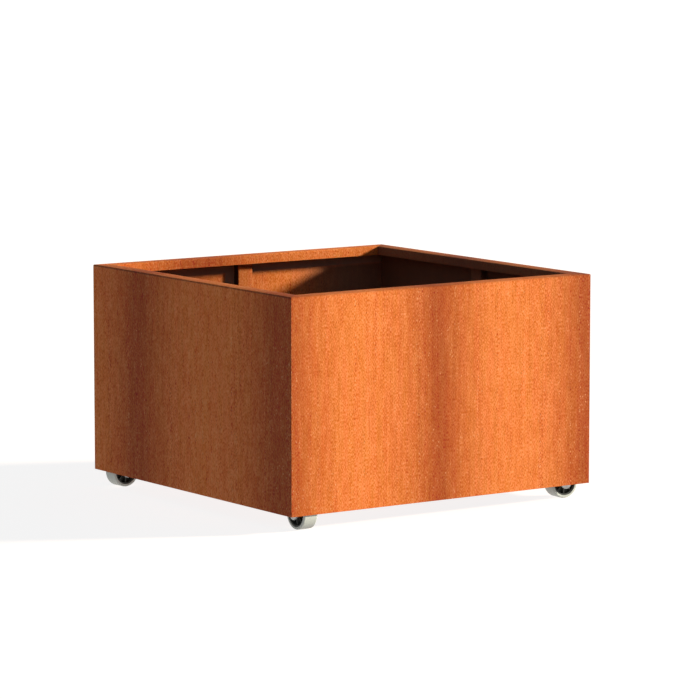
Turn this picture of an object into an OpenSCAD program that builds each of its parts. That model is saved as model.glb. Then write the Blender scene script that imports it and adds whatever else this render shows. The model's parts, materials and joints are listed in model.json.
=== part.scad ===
// Rolling planter: an open square box of folded weathering steel that rolls on four swivel
// casters, tucked in behind the bottom edge of its panels.
// Millimetres. The origin lies on the ground, under the centre of the box, and +Z is up.
// The front panel faces -Y, the right panel +X, the back panel +Y and the left panel -X.

/* [Box] */
// Width of the box along X, over the panels
box_w = 1000; // [800:10:1400]
// Depth of the box along Y, over the panels
box_d = 1000; // [800:10:1400]
// Height of a panel, from its bottom edge to the top of the rim
panel_h = 585; // [400:5:900]
// Height of the panels' bottom edge above the ground
ground_gap = 44; // [25:1:60]
// Thickness of the folded sheet
sheet_t = 2; // [1.5:0.5:3]
// Inside radius of every fold in the sheet
fold_r = 1; // [0.5:0.5:3]

/* [Rim] */
// Width of the rim's flat top, from the outer face to the inner face of the lip
rim_w = 48; // [35:1:80]
// Height of the lip that hangs from the rim's inner edge, measured from the rim's top
lip_h = 25; // [12:1:60]

/* [Wall stiffeners] */
// Width of the folded channel that stands in the middle of each wall
stiffener_w = 50; // [30:1:80]
// Depth of that channel, from the wall to its face
stiffener_d = 21; // [12:1:28]
// Gap under that channel, which lets water run along the floor
stiffener_foot_gap = 10; // [5:1:40]

/* [Floor] */
// Thickness of the floor plate
floor_t = 3; // [2:0.5:6]
// Diameter of a drain hole
drain_d = 25; // [15:1:40]
// Distance between drain holes along X
drain_pitch_x = 500; // [200:10:600]
// Distance between the two rows of drain holes along Y
drain_pitch_y = 220; // [160:10:240]
// Width of a channel under the floor
bearer_w = 40; // [25:1:60]
// Depth of a channel under the floor
bearer_h = 40; // [20:1:50]
// Distance between neighbouring channels under the floor
bearer_pitch = 220; // [200:5:240]

/* [Caster mounting] */
// Least gap between a panel and a wheel as its caster turns
wheel_wall_gap = 1; // [0.5:0.5:20]
// Thickness of the corner plate that a caster is screwed to
corner_plate_t = 8; // [6:1:12]
// Length of a caster's mounting plate along X
plate_l = 105; // [102:1:120]
// Width of a caster's mounting plate along Y
plate_w = 85; // [80:1:95]
// Thickness of a caster's mounting plate
plate_t = 3; // [2.5:0.5:4]
// Corner radius of a caster's mounting plate
plate_corner_r = 8; // [4:1:10]
// Distance between the mounting slots along X
slot_pitch_x = 80; // [74:1:84]
// Distance between the mounting slots along Y
slot_pitch_y = 60; // [60:1:64]
// Width of a mounting slot
slot_w = 9; // [8.6:0.2:10]
// Length of a mounting slot along X, end to end
slot_l = 14; // [10:1:16]

/* [Caster swivel] */
// Distance from the swivel axis back to the wheel's axle
trail = 18; // [14:1:30]
// Radius of the kingpin
kingpin_r = 6; // [5:0.5:8]
// Radius of the kingpin's head, under the fork
kingpin_head_r = 11; // [10:0.5:14]
// Height of the kingpin's head
kingpin_head_h = 3.5; // [2.5:0.5:4]
// Diameter of a ball in the swivel race
ball_d = 7; // [6:0.5:8]
// Radius of the circle on which the balls' centres lie
race_r = 21; // [19:0.5:24]
// Height of the race, from the fork's crown to the mounting plate
race_h = 11; // [10:0.5:16]
// Vertical gap between the two halves of the race
race_gap = 1.6; // [1:0.1:2.5]
// Distance from the balls' circle to the inner and outer edges of the race rings
race_land = 6; // [5:0.5:6.5]
// Wall of the dust skirt round the race
dust_skirt_t = 1.5; // [1:0.5:2]
// Height over which the dust skirt covers the lower race ring
dust_skirt_overlap = 3; // [2:0.5:4]

/* [Caster fork] */
// Thickness of the fork's pressed steel
fork_t = 3; // [2:0.5:4]
// Gap between the wheel's side and a fork leg
fork_side_gap = 3; // [2:0.5:4]
// Radius of a leg's rounded end, about the axle
leg_end_r = 16; // [14:0.5:22]
// Radius of the fork's crown round the kingpin
crown_r = 29; // [28:0.5:32]
// Gap between the wheel's top and the underside of the crown
crown_clear = 8; // [6:0.5:10]

/* [Caster wheel] */
// Diameter of the wheel over its tyre
wheel_d = 86; // [70:1:100]
// Width of the tyre
tyre_w = 42; // [32:1:44]
// Thickness of the tyre
tyre_t = 7.5; // [5:0.5:10]
// Radius of the tyre's rounded shoulders
tyre_shoulder_r = 3; // [2:0.5:4.5]
// Thickness of the core's rim, under the tyre
core_rim_t = 3.5; // [2:0.5:5]
// Depth by which the core's rim lies back from the tyre's side
core_rim_setback = 2; // [1:0.5:4]
// Thickness of the core's web
core_web_t = 10; // [6:1:16]
// Radius of the core's hub
hub_r = 13; // [12:0.5:15]
// Number of ribs on each side of the web
rib_count = 8; // [4:1:12]
// Thickness of a rib
rib_t = 2.5; // [1.5:0.5:4]
// Outside radius of the hub's bush
bush_r = 9; // [8.5:0.5:10]
// Radius of the flange at each end of the bush
bush_flange_r = 11.5; // [11:0.5:13]
// Thickness of that flange
bush_flange_t = 1.5; // [1:0.5:2]

/* [Axle] */
// Outside radius of the sleeve that the wheel turns on
sleeve_r = 6.5; // [6:0.25:7]
// Radius of the axle bolt's shank
axle_r = 4; // [3:0.5:4]
// Distance across the flats of the axle's bolt head and nut
axle_hex_af = 13; // [12:0.5:14]
// Height of the axle's bolt head
axle_head_h = 5.3; // [4:0.1:7]
// Height of the axle's locking nut
axle_nut_h = 8; // [6:0.5:10]
// Length of thread that shows past the nut
axle_tail = 1.5; // [0.5:0.5:3]

/* [Mounting screws] */
// Radius of a mounting screw's thread
screw_r = 4; // [3:0.5:4]
// Distance by which a mounting screw's tip stays below the floor plate
screw_tip_gap = 0.6; // [0.2:0.1:2]
// Distance across the flats of its head
screw_hex_af = 13; // [10:0.5:13]
// Height of its head
screw_head_h = 5.3; // [4:0.1:6]
// Outside radius of the washer under its head
washer_r = 8; // [7.5:0.25:8.5]
// Thickness of that washer
washer_t = 1.6; // [1:0.1:2]

/* [Fits] */
// Radial clearance of a part that turns on a shaft
running_gap = 0.05; // [0.02:0.01:0.1]
// Radial clearance of a part that is seated or screwed into another
seat_gap = 0.05; // [0.02:0.01:0.1]
// Radial clearance round the axle bolt in the sleeve and the fork
bolt_gap = 0.2; // [0.1:0.05:0.4]
// Clearance between faces that pass each other as a caster turns
turn_gap = 0.3; // [0.3:0.1:0.5]
// Clearance round a ball in its groove
ball_gap = 0.15; // [0.1:0.05:0.3]
// Least distance between neighbouring balls
ball_spacing = 0.4; // [0.2:0.1:1]

/* [Casters at rest] */
// Turn of the front left caster about its swivel axis: at 0 it trails towards -Y
front_left_turn = 0; // [-180:1:180]
// Turn of the front right caster
front_right_turn = 87; // [-180:1:180]
// Turn of the back right caster
back_right_turn = 150; // [-180:1:180]
// Turn of the back left caster
back_left_turn = -86; // [-180:1:180]

/* [Hidden] */
$fn = 64;
// A cut runs this far past the faces that it goes through
cut = 1;

// Heights above the ground, from the wheel up to the rim: caster_h is a caster's whole height
axle_z = wheel_d / 2;
crown_z = wheel_d + crown_clear;
crown_top_z = crown_z + fork_t;
plate_z = crown_top_z + race_h;
caster_h = plate_z + plate_t;
floor_z = caster_h + corner_plate_t;
floor_top_z = floor_z + floor_t;
rim_z = ground_gap + panel_h;

// The folded sheet
fold_out_r = fold_r + sheet_t;
stiffener_foot_z = floor_top_z + stiffener_foot_gap;
stiffener_top_z = rim_z - fold_out_r;

// Half sizes over the panels, and inside them
half_w = box_w / 2;
half_d = box_d / 2;
inner_w = box_w - 2 * sheet_t;
inner_d = box_d - 2 * sheet_t;

// A wheel's reach from the swivel axis, out to the tyre's rounded shoulder
wheel_reach_y = trail + wheel_d / 2 - tyre_shoulder_r;
wheel_reach_x = tyre_w / 2 - tyre_shoulder_r;
wheel_swing_r = norm([wheel_reach_x, wheel_reach_y]) + tyre_shoulder_r;

// A swivel axis stands in from a panel's outer face by whole millimetres, clear of that swing.
// The corner plates reach from the two panels to as far beyond the axis.
caster_inset = ceil(sheet_t + wheel_swing_r + wheel_wall_gap);
corner_plate_half = caster_inset - sheet_t;

// The swivel race lies midway between the crown and the mounting plate
race_in_r = race_r - race_land;
race_out_r = race_r + race_land;
ball_z = (crown_top_z + plate_z) / 2;
ball_groove_r = ball_d / 2 + ball_gap;
ball_count = floor(360 / (2 * asin((ball_d + ball_spacing) / (2 * race_r))));
race_low_top_z = ball_z - race_gap / 2;
race_high_bottom_z = ball_z + race_gap / 2;
dust_skirt_in_r = race_out_r + turn_gap;

// The fork and its axle
leg_in_x = tyre_w / 2 + fork_side_gap;
leg_out_x = leg_in_x + fork_t;
axle_bore_r = axle_r + bolt_gap;
// A leg's straight edges run this far inside the circle of its rounded end
edge_inset = 0.3;

// The wheel
core_r = wheel_d / 2 - tyre_t;
core_in_r = core_r - core_rim_t;
core_rim_w = tyre_w - 2 * core_rim_setback;
hub_w = 2 * (leg_in_x - turn_gap - bush_flange_t);

// The mounting screws
thread_bore_r = screw_r + seat_gap;
washer_bore_r = screw_r + bolt_gap;
screw_head_z = plate_z - washer_t;
screw_tip_z = floor_z - screw_tip_gap;

// One caster a corner: the signs of its X and Y, and its turn at rest
FRONT_LEFT = [-1, -1, front_left_turn];
FRONT_RIGHT = [1, -1, front_right_turn];
BACK_RIGHT = [1, 1, back_right_turn];
BACK_LEFT = [-1, 1, back_left_turn];
CORNERS = [FRONT_LEFT, FRONT_RIGHT, BACK_RIGHT, BACK_LEFT];

CORTEN = [0.79, 0.42, 0.20];
CORTEN_INSIDE = [0.62, 0.31, 0.15];
ZINC = [0.78, 0.79, 0.77];
BRIGHT_STEEL = [0.70, 0.71, 0.72];
BLACK_PLASTIC = [0.11, 0.11, 0.11];
GREY_TYRE = [0.82, 0.82, 0.78];
WHITE_PLASTIC = [0.88, 0.88, 0.85];

// ---------------------------------------------------------------- placing

// Puts a child that is drawn about a swivel axis at a corner, square to the box.
module at_corner(corner) {
    translate([corner[0] * (half_w - caster_inset), corner[1] * (half_d - caster_inset), 0])
        children();
}

// Puts a child that turns with the fork at a corner, at its turn at rest.
module on_swivel(corner) {
    at_corner(corner)
        rotate([0, 0, corner[2]])
            children();
}

// Puts a child that is drawn round Z on the wheel's axle, with its +Z along the swivel's +X.
module on_axle(corner) {
    on_swivel(corner)
        translate([0, -trail, axle_z])
            rotate([0, 90, 0])
                children();
}

// Puts a child at each of a caster plate's four mounting slots.
module at_slots() {
    for (x = [-1, 1])
        for (y = [-1, 1])
            translate([x * slot_pitch_x / 2, y * slot_pitch_y / 2, 0])
                children();
}

// ---------------------------------------------------------------- shapes

// A ring round Z between two radii and two heights.
module ring(in_r, out_r, low, high) {
    translate([0, 0, low])
        difference() {
            cylinder(r = out_r, h = high - low);
            translate([0, 0, -cut])
                cylinder(r = in_r, h = high - low + 2 * cut);
        }
}

// A flat plate, centred on Z, with rounded corners.
module rounded_plate(length, width, thickness, corner_r) {
    linear_extrude(thickness) {
        square([length - 2 * corner_r, width], center = true);
        square([length, width - 2 * corner_r], center = true);
        for (x = [-1, 1])
            for (y = [-1, 1])
                translate([x * (length / 2 - corner_r), y * (width / 2 - corner_r)])
                    circle(r = corner_r);
    }
}

// A hexagon round Z, measured across its flats.
module hexagon(across_flats, height) {
    cylinder(d = across_flats / cos(30), h = height, $fn = 6);
}

// A quarter ring of folded sheet about the origin, in the quadrant that starts at the angle.
module fold_arc(start) {
    rotate(start)
        intersection() {
            difference() {
                circle(r = fold_out_r);
                circle(r = fold_r);
            }
            square(fold_out_r);
        }
}

// A channel of folded sheet: its web lies along +X from the origin, and its legs point to -Y.
module channel_profile(width, depth) {
    translate([fold_out_r, -sheet_t])
        square([width - 2 * fold_out_r, sheet_t]);
    for (x = [0, width - sheet_t])
        translate([x, -depth])
            square([sheet_t, depth - fold_out_r]);
    translate([fold_out_r, -fold_out_r])
        fold_arc(90);
    translate([width - fold_out_r, -fold_out_r])
        fold_arc(0);
}

// ---------------------------------------------------------------- box

// A panel's section, seen along the panel: the wall stands on X = 0 and the rim folds to +X.
module panel_profile() {
    translate([0, ground_gap])
        square([sheet_t, panel_h - fold_out_r]);
    translate([fold_out_r, rim_z - fold_out_r])
        fold_arc(90);
    translate([fold_out_r, rim_z - sheet_t])
        square([rim_w - 2 * fold_out_r, sheet_t]);
    translate([rim_w - fold_out_r, rim_z - fold_out_r])
        fold_arc(0);
    translate([rim_w - sheet_t, rim_z - lip_h])
        square([sheet_t, lip_h - fold_out_r]);
}

// A folded panel with mitred ends, its outer face on Y = 0, centred on X, its rim over +Y.
module panel(length) {
    half = length / 2;
    intersection() {
        translate([-half, 0, 0])
            rotate([90, 0, 90])
                linear_extrude(length)
                    panel_profile();
        translate([0, 0, ground_gap])
            linear_extrude(panel_h)
                polygon([[-half, 0], [half, 0], [half - rim_w, rim_w], [rim_w - half, rim_w]]);
    }
}

// An upright channel on a wall at Y = 0, from just above the floor to the fold of the rim.
module stiffener() {
    translate([-stiffener_w / 2, stiffener_d, stiffener_foot_z])
        linear_extrude(stiffener_top_z - stiffener_foot_z)
            channel_profile(stiffener_w, stiffener_d);
}

module front_panel() {
    color(CORTEN)
        translate([0, -half_d, 0])
            panel(box_w);
}

module right_panel() {
    color(CORTEN)
        translate([half_w, 0, 0])
            rotate([0, 0, 90])
                panel(box_d);
}

module back_panel() {
    color(CORTEN)
        translate([0, half_d, 0])
            rotate([0, 0, 180])
                panel(box_w);
}

module left_panel() {
    color(CORTEN)
        translate([-half_w, 0, 0])
            rotate([0, 0, -90])
                panel(box_d);
}

module front_stiffener() {
    color(CORTEN_INSIDE)
        translate([0, sheet_t - half_d, 0])
            stiffener();
}

module right_stiffener() {
    color(CORTEN_INSIDE)
        translate([half_w - sheet_t, 0, 0])
            rotate([0, 0, 90])
                stiffener();
}

module back_stiffener() {
    color(CORTEN_INSIDE)
        translate([0, half_d - sheet_t, 0])
            rotate([0, 0, 180])
                stiffener();
}

module left_stiffener() {
    color(CORTEN_INSIDE)
        translate([sheet_t - half_w, 0, 0])
            rotate([0, 0, -90])
                stiffener();
}

// ---------------------------------------------------------------- floor

module floor_plate() {
    color(CORTEN_INSIDE)
        translate([0, 0, floor_z])
            difference() {
                translate([-inner_w / 2, -inner_d / 2, 0])
                    cube([inner_w, inner_d, floor_t]);
                for (x = [-1, 1])
                    for (y = [-1, 1])
                        translate([x * drain_pitch_x / 2, y * drain_pitch_y / 2, -cut])
                            cylinder(d = drain_d, h = floor_t + 2 * cut);
            }
}

// A channel that hangs under the floor from wall to wall, open towards the floor.
module floor_bearer(y) {
    color(CORTEN_INSIDE)
        translate([-inner_w / 2, y + bearer_w / 2, floor_z - bearer_h])
            rotate([90, 0, 90])
                linear_extrude(inner_w)
                    mirror([0, 1])
                        mirror([1, 0])
                            channel_profile(bearer_w, bearer_h);
}

module floor_bearer_front() { floor_bearer(-bearer_pitch); }
module floor_bearer_middle() { floor_bearer(0); }
module floor_bearer_back() { floor_bearer(bearer_pitch); }

// The thick plate under a corner of the floor, tapped for the caster's screws.
module corner_plate(corner) {
    color(CORTEN_INSIDE)
        at_corner(corner)
            translate([0, 0, caster_h])
                difference() {
                    translate([-corner_plate_half, -corner_plate_half, 0])
                        cube([2 * corner_plate_half, 2 * corner_plate_half, corner_plate_t]);
                    at_slots()
                        translate([0, 0, -cut])
                            cylinder(r = thread_bore_r, h = corner_plate_t + 2 * cut);
                }
}

// ---------------------------------------------------------------- caster mounting

// One screw, head down, with its axis on Z.
module mounting_screw() {
    translate([0, 0, screw_head_z - screw_head_h])
        hexagon(screw_hex_af, screw_head_h);
    translate([0, 0, screw_head_z])
        cylinder(r = screw_r, h = screw_tip_z - screw_head_z);
}

module mounting_screws() {
    color(ZINC)
        for (corner = CORNERS)
            at_corner(corner)
                at_slots()
                    mounting_screw();
}

module mounting_washers() {
    color(ZINC)
        for (corner = CORNERS)
            at_corner(corner)
                at_slots()
                    ring(washer_bore_r, washer_r, screw_head_z, plate_z);
}

// A mounting slot that runs along X.
module mounting_slot() {
    reach = (slot_l - slot_w) / 2;
    translate([0, 0, plate_z - cut])
        linear_extrude(plate_t + 2 * cut) {
            square([2 * reach, slot_w], center = true);
            for (x = [-reach, reach])
                translate([x, 0])
                    circle(d = slot_w);
        }
}

// The groove of the ball race.
module ball_groove() {
    translate([0, 0, ball_z])
        rotate_extrude()
            translate([race_r, 0])
                circle(r = ball_groove_r);
}

// The mounting plate of a caster, with the upper half of the race and the dust skirt below it.
module caster_plate(corner) {
    color(ZINC)
        at_corner(corner)
            difference() {
                union() {
                    translate([0, 0, plate_z])
                        rounded_plate(plate_l, plate_w, plate_t, plate_corner_r);
                    ring(race_in_r, dust_skirt_in_r + dust_skirt_t, race_high_bottom_z, plate_z);
                    ring(dust_skirt_in_r, dust_skirt_in_r + dust_skirt_t,
                        race_low_top_z - dust_skirt_overlap, plate_z);
                }
                ball_groove();
                at_slots()
                    mounting_slot();
                translate([0, 0, plate_z - cut])
                    cylinder(r = kingpin_r + seat_gap, h = plate_t + 2 * cut);
            }
}

// The pin that the fork turns on: it is riveted into the mounting plate.
module kingpin(corner) {
    head_top_z = crown_z - turn_gap;
    color(BRIGHT_STEEL)
        at_corner(corner) {
            translate([0, 0, head_top_z - kingpin_head_h])
                cylinder(r = kingpin_head_r, h = kingpin_head_h);
            translate([0, 0, head_top_z])
                cylinder(r = kingpin_r, h = caster_h - head_top_z);
        }
}

// ---------------------------------------------------------------- caster fork

module swivel_balls(corner) {
    color(BRIGHT_STEEL)
        on_swivel(corner)
            for (i = [0 : ball_count - 1])
                rotate([0, 0, i * 360 / ball_count])
                    translate([race_r, 0, ball_z])
                        sphere(d = ball_d);
}

// A fork leg's outline in the plane across the axle: x runs from the swivel axis towards the
// wheel, y is the height. It tapers from the crown to the rounded end about the axle.
module leg_profile() {
    rise = crown_top_z - axle_z;
    front = [-crown_r, rise];
    back = [crown_r, rise];
    translate([0, axle_z])
        difference() {
            union() {
                translate([trail, 0])
                    circle(r = leg_end_r);
                polygon([front, edge_end(front, -1), [trail, 0], edge_end(back, 1), back]);
            }
            translate([trail, 0])
                circle(r = axle_bore_r);
        }
}

// Where a leg's straight edge runs into its rounded end, just inside the round. The side is -1
// for the edge under the swivel axis and 1 for the edge over the wheel.
function edge_end(corner, side) =
    let (
        end_r = leg_end_r - edge_inset,
        reach = corner - [trail, 0],
        bearing = atan2(reach[1], reach[0]),
        spread = acos(end_r / norm(reach)),
        angle = bearing - side * spread
    )
    [trail + end_r * cos(angle), end_r * sin(angle)];

// The fork: a crown with the lower half of the race, and two legs that carry the axle.
module fork(corner) {
    color(ZINC)
        on_swivel(corner)
            difference() {
                union() {
                    translate([-leg_out_x, -crown_r, crown_z])
                        cube([2 * leg_out_x, 2 * crown_r, fork_t]);
                    translate([0, 0, crown_z])
                        cylinder(r = crown_r, h = fork_t);
                    ring(race_in_r, race_out_r, crown_z, race_low_top_z);
                    for (x = [leg_in_x, -leg_out_x])
                        translate([x, 0, 0])
                            rotate([90, 0, -90])
                                mirror([0, 0, 1])
                                    linear_extrude(fork_t)
                                        leg_profile();
                }
                ball_groove();
                translate([0, 0, crown_z - cut])
                    cylinder(r = kingpin_r + running_gap, h = fork_t + 2 * cut);
            }
}

// ---------------------------------------------------------------- axle

module axle_bolt(corner) {
    color(ZINC)
        on_axle(corner) {
            translate([0, 0, -leg_out_x - axle_head_h])
                hexagon(axle_hex_af, axle_head_h);
            translate([0, 0, -leg_out_x])
                cylinder(r = axle_r, h = 2 * leg_out_x + axle_nut_h + axle_tail);
        }
}

module axle_nut(corner) {
    color(ZINC)
        on_axle(corner)
            translate([0, 0, leg_out_x])
                difference() {
                    hexagon(axle_hex_af, axle_nut_h);
                    translate([0, 0, -cut])
                        cylinder(r = axle_r + seat_gap, h = axle_nut_h + 2 * cut);
                }
}

// The sleeve that the bolt clamps between the fork's legs.
module axle_sleeve(corner) {
    color(BRIGHT_STEEL)
        on_axle(corner)
            ring(axle_bore_r, sleeve_r, -leg_in_x, leg_in_x);
}

// ---------------------------------------------------------------- wheel

// The flanged bush that is pressed into the hub and turns on the sleeve.
module wheel_bush(corner) {
    end = hub_w / 2;
    color(WHITE_PLASTIC)
        on_axle(corner) {
            ring(sleeve_r + running_gap, bush_r, -end, end);
            ring(sleeve_r + running_gap, bush_flange_r, end, end + bush_flange_t);
            ring(sleeve_r + running_gap, bush_flange_r, -end - bush_flange_t, -end);
        }
}

// The moulded core: a hub, a web with ribs on both sides and a rim under the tyre.
module wheel_core(corner) {
    rib_w = core_rim_w - 2 * core_rim_setback;
    color(BLACK_PLASTIC)
        on_axle(corner) {
            ring(bush_r + seat_gap, hub_r, -hub_w / 2, hub_w / 2);
            ring(hub_r, core_in_r, -core_web_t / 2, core_web_t / 2);
            ring(core_in_r, core_r, -core_rim_w / 2, core_rim_w / 2);
            difference() {
                for (i = [0 : rib_count - 1])
                    rotate([0, 0, i * 360 / rib_count])
                        translate([hub_r - cut, -rib_t / 2, -rib_w / 2])
                            cube([core_in_r - hub_r + 2 * cut, rib_t, rib_w]);
                cylinder(r = hub_r - cut / 2, h = rib_w + 2 * cut, center = true);
            }
        }
}

module tyre(corner) {
    half = tyre_w / 2;
    color(GREY_TYRE)
        on_axle(corner)
            rotate_extrude() {
                translate([core_r + seat_gap, -half])
                    square([tyre_t - seat_gap - tyre_shoulder_r, tyre_w]);
                translate([core_r + seat_gap, tyre_shoulder_r - half])
                    square([tyre_t - seat_gap, tyre_w - 2 * tyre_shoulder_r]);
                for (z = [-1, 1])
                    translate([wheel_d / 2 - tyre_shoulder_r, z * (half - tyre_shoulder_r)])
                        intersection() {
                            circle(r = tyre_shoulder_r);
                            translate([0, (z - 1) / 2 * tyre_shoulder_r])
                                square(tyre_shoulder_r);
                        }
            }
}

front_panel();
right_panel();
back_panel();
left_panel();
front_stiffener();
right_stiffener();
back_stiffener();
left_stiffener();
floor_plate();
floor_bearer_front();
floor_bearer_middle();
floor_bearer_back();
corner_plate(FRONT_LEFT);  // corner_plate_front_left
corner_plate(FRONT_RIGHT);  // corner_plate_front_right
corner_plate(BACK_RIGHT);  // corner_plate_back_right
corner_plate(BACK_LEFT);  // corner_plate_back_left
mounting_screws();
mounting_washers();
caster_plate(FRONT_LEFT);  // caster_plate_front_left
caster_plate(FRONT_RIGHT);  // caster_plate_front_right
caster_plate(BACK_RIGHT);  // caster_plate_back_right
caster_plate(BACK_LEFT);  // caster_plate_back_left
kingpin(FRONT_LEFT);  // kingpin_front_left
kingpin(FRONT_RIGHT);  // kingpin_front_right
kingpin(BACK_RIGHT);  // kingpin_back_right
kingpin(BACK_LEFT);  // kingpin_back_left
swivel_balls(FRONT_LEFT);  // swivel_balls_front_left
swivel_balls(FRONT_RIGHT);  // swivel_balls_front_right
swivel_balls(BACK_RIGHT);  // swivel_balls_back_right
swivel_balls(BACK_LEFT);  // swivel_balls_back_left
fork(FRONT_LEFT);  // fork_front_left
fork(FRONT_RIGHT);  // fork_front_right
fork(BACK_RIGHT);  // fork_back_right
fork(BACK_LEFT);  // fork_back_left
axle_bolt(FRONT_LEFT);  // axle_bolt_front_left
axle_bolt(FRONT_RIGHT);  // axle_bolt_front_right
axle_bolt(BACK_RIGHT);  // axle_bolt_back_right
axle_bolt(BACK_LEFT);  // axle_bolt_back_left
axle_nut(FRONT_LEFT);  // axle_nut_front_left
axle_nut(FRONT_RIGHT);  // axle_nut_front_right
axle_nut(BACK_RIGHT);  // axle_nut_back_right
axle_nut(BACK_LEFT);  // axle_nut_back_left
axle_sleeve(FRONT_LEFT);  // axle_sleeve_front_left
axle_sleeve(FRONT_RIGHT);  // axle_sleeve_front_right
axle_sleeve(BACK_RIGHT);  // axle_sleeve_back_right
axle_sleeve(BACK_LEFT);  // axle_sleeve_back_left
wheel_bush(FRONT_LEFT);  // wheel_bush_front_left
wheel_bush(FRONT_RIGHT);  // wheel_bush_front_right
wheel_bush(BACK_RIGHT);  // wheel_bush_back_right
wheel_bush(BACK_LEFT);  // wheel_bush_back_left
wheel_core(FRONT_LEFT);  // wheel_core_front_left
wheel_core(FRONT_RIGHT);  // wheel_core_front_right
wheel_core(BACK_RIGHT);  // wheel_core_back_right
wheel_core(BACK_LEFT);  // wheel_core_back_left
tyre(FRONT_LEFT);  // tyre_front_left
tyre(FRONT_RIGHT);  // tyre_front_right
tyre(BACK_RIGHT);  // tyre_back_right
tyre(BACK_LEFT);  // tyre_back_left
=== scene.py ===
"""Looks of a rolling planter: a box of folded weathering steel on four swivel casters."""

import json
import logging
import math
from dataclasses import dataclass
from enum import Enum
from typing import Any, Callable, Iterable, Iterator, Mapping, Sequence

import bmesh
import bpy
from mathutils import Matrix, Vector


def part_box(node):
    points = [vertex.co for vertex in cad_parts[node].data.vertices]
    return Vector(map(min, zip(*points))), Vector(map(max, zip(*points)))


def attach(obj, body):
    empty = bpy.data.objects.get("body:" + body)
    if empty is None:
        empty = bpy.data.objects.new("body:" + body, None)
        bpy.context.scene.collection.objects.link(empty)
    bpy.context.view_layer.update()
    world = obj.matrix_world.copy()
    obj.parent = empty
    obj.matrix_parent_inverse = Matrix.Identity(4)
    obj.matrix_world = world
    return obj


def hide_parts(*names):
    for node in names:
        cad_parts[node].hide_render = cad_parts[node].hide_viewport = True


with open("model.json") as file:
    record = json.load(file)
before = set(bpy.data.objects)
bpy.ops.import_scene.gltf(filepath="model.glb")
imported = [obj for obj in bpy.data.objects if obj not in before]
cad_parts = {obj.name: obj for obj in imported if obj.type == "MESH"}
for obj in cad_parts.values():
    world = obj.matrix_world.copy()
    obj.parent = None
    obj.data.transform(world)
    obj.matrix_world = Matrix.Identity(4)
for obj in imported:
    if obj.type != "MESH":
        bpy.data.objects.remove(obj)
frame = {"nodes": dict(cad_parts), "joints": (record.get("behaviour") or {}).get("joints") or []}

LOG = logging.getLogger("planter")
BOX_BODY = "planter_box"
SHEET_UV = "sheet"
TAU = math.tau
WHITE = (1.0, 1.0, 1.0)

# Where the sides of a folded sheet lie in its UV map. The outer side starts at 0, 0.
INNER_LIFT, INNER_SHIFT = 3.0, -0.15  # the inner side: how far up it starts, and how far along
EDGE_LIFT, END_LIFT = 5.0, 7.0

Triple = tuple[float, float, float]
Colour = Triple
Point = tuple[float, float]
Named = Mapping[Any, Any] | None


# ---------------------------------------------------------------- names


class Corner(Enum):
    """A caster's place under the box."""

    FRONT_LEFT = "front_left"
    FRONT_RIGHT = "front_right"
    BACK_RIGHT = "back_right"
    BACK_LEFT = "back_left"


class Wall(Enum):
    """A wall of the box, with the turn about Z that brings the front wall to it."""

    FRONT = ("front", 0.0)
    RIGHT = ("right", 90.0)
    BACK = ("back", 180.0)
    LEFT = ("left", -90.0)

    @property
    def label(self) -> str:
        """The wall's name in the CAD nodes."""
        return self.value[0]

    @property
    def turn(self) -> Matrix:
        """The rotation from the front wall to this one."""
        return Matrix.Rotation(math.radians(self.value[1]), 4, "Z")


class Slot(Enum):
    """The record's material slots."""

    PANELS = "corten_panels"
    INSIDE = "corten_inside"
    ZINC = "zinc_plated_steel"
    STEEL = "bright_steel"
    BUSH = "white_bush_plastic"
    CORE = "black_core_plastic"
    TYRE = "grey_tyre"


class Place(Enum):
    """Where a pattern takes its coordinates from."""

    SHEET = "the piece's own UV map, in metres along and up the sheet"
    OBJECT = "the object's own coordinates, in metres"


def srgb(*levels: int) -> Colour:
    """Turns red, green and blue, from 0 to 255 in sRGB, into linear light."""
    shares = (level / 255 for level in levels)
    return tuple(v / 12.92 if v <= 0.04045 else ((v + 0.055) / 1.055) ** 2.4 for v in shares)


# ---------------------------------------------------------------- node trees


def operator(operation: str, swapped: bool = False) -> Callable[..., "Value"]:
    """Makes one of Value's arithmetic methods.

    Args:
        operation: what the Math node works out.
        swapped: whether the value is the second operand.

    Returns:
        The method.
    """

    def method(self: "Value", *others: "Value | float") -> "Value":
        """Adds the Math node."""
        numbers = (*others, self) if swapped else (self, *others)
        return self.graph.math(operation, *numbers)

    return method


@dataclass(frozen=True)
class Value:
    """A node's output. Where it is a number, arithmetic on it adds Math nodes."""

    graph: "Graph"
    socket: bpy.types.NodeSocket

    __add__ = __radd__ = operator("ADD")
    __sub__, __rsub__ = operator("SUBTRACT"), operator("SUBTRACT", True)
    __mul__ = __rmul__ = operator("MULTIPLY")
    __truediv__, __rtruediv__ = operator("DIVIDE"), operator("DIVIDE", True)
    __pow__, __rpow__ = operator("POWER"), operator("POWER", True)
    __abs__ = operator("ABSOLUTE")

    def ramp(self, low: float, high: float, eased: bool = True) -> "Value":
        """Rises from 0 at low to 1 at high.

        Args:
            low: where the rise starts. It may be above high.
            high: where the rise ends.
            eased: whether the rise starts and ends smoothly.

        Returns:
            The value, from 0 to 1.
        """
        kind = {"interpolation_type": "SMOOTHSTEP" if eased else "LINEAR"}
        numbers = {"Value": self, "From Min": low, "From Max": high}
        return self.graph.read("ShaderNodeMapRange", kind, numbers)


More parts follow.
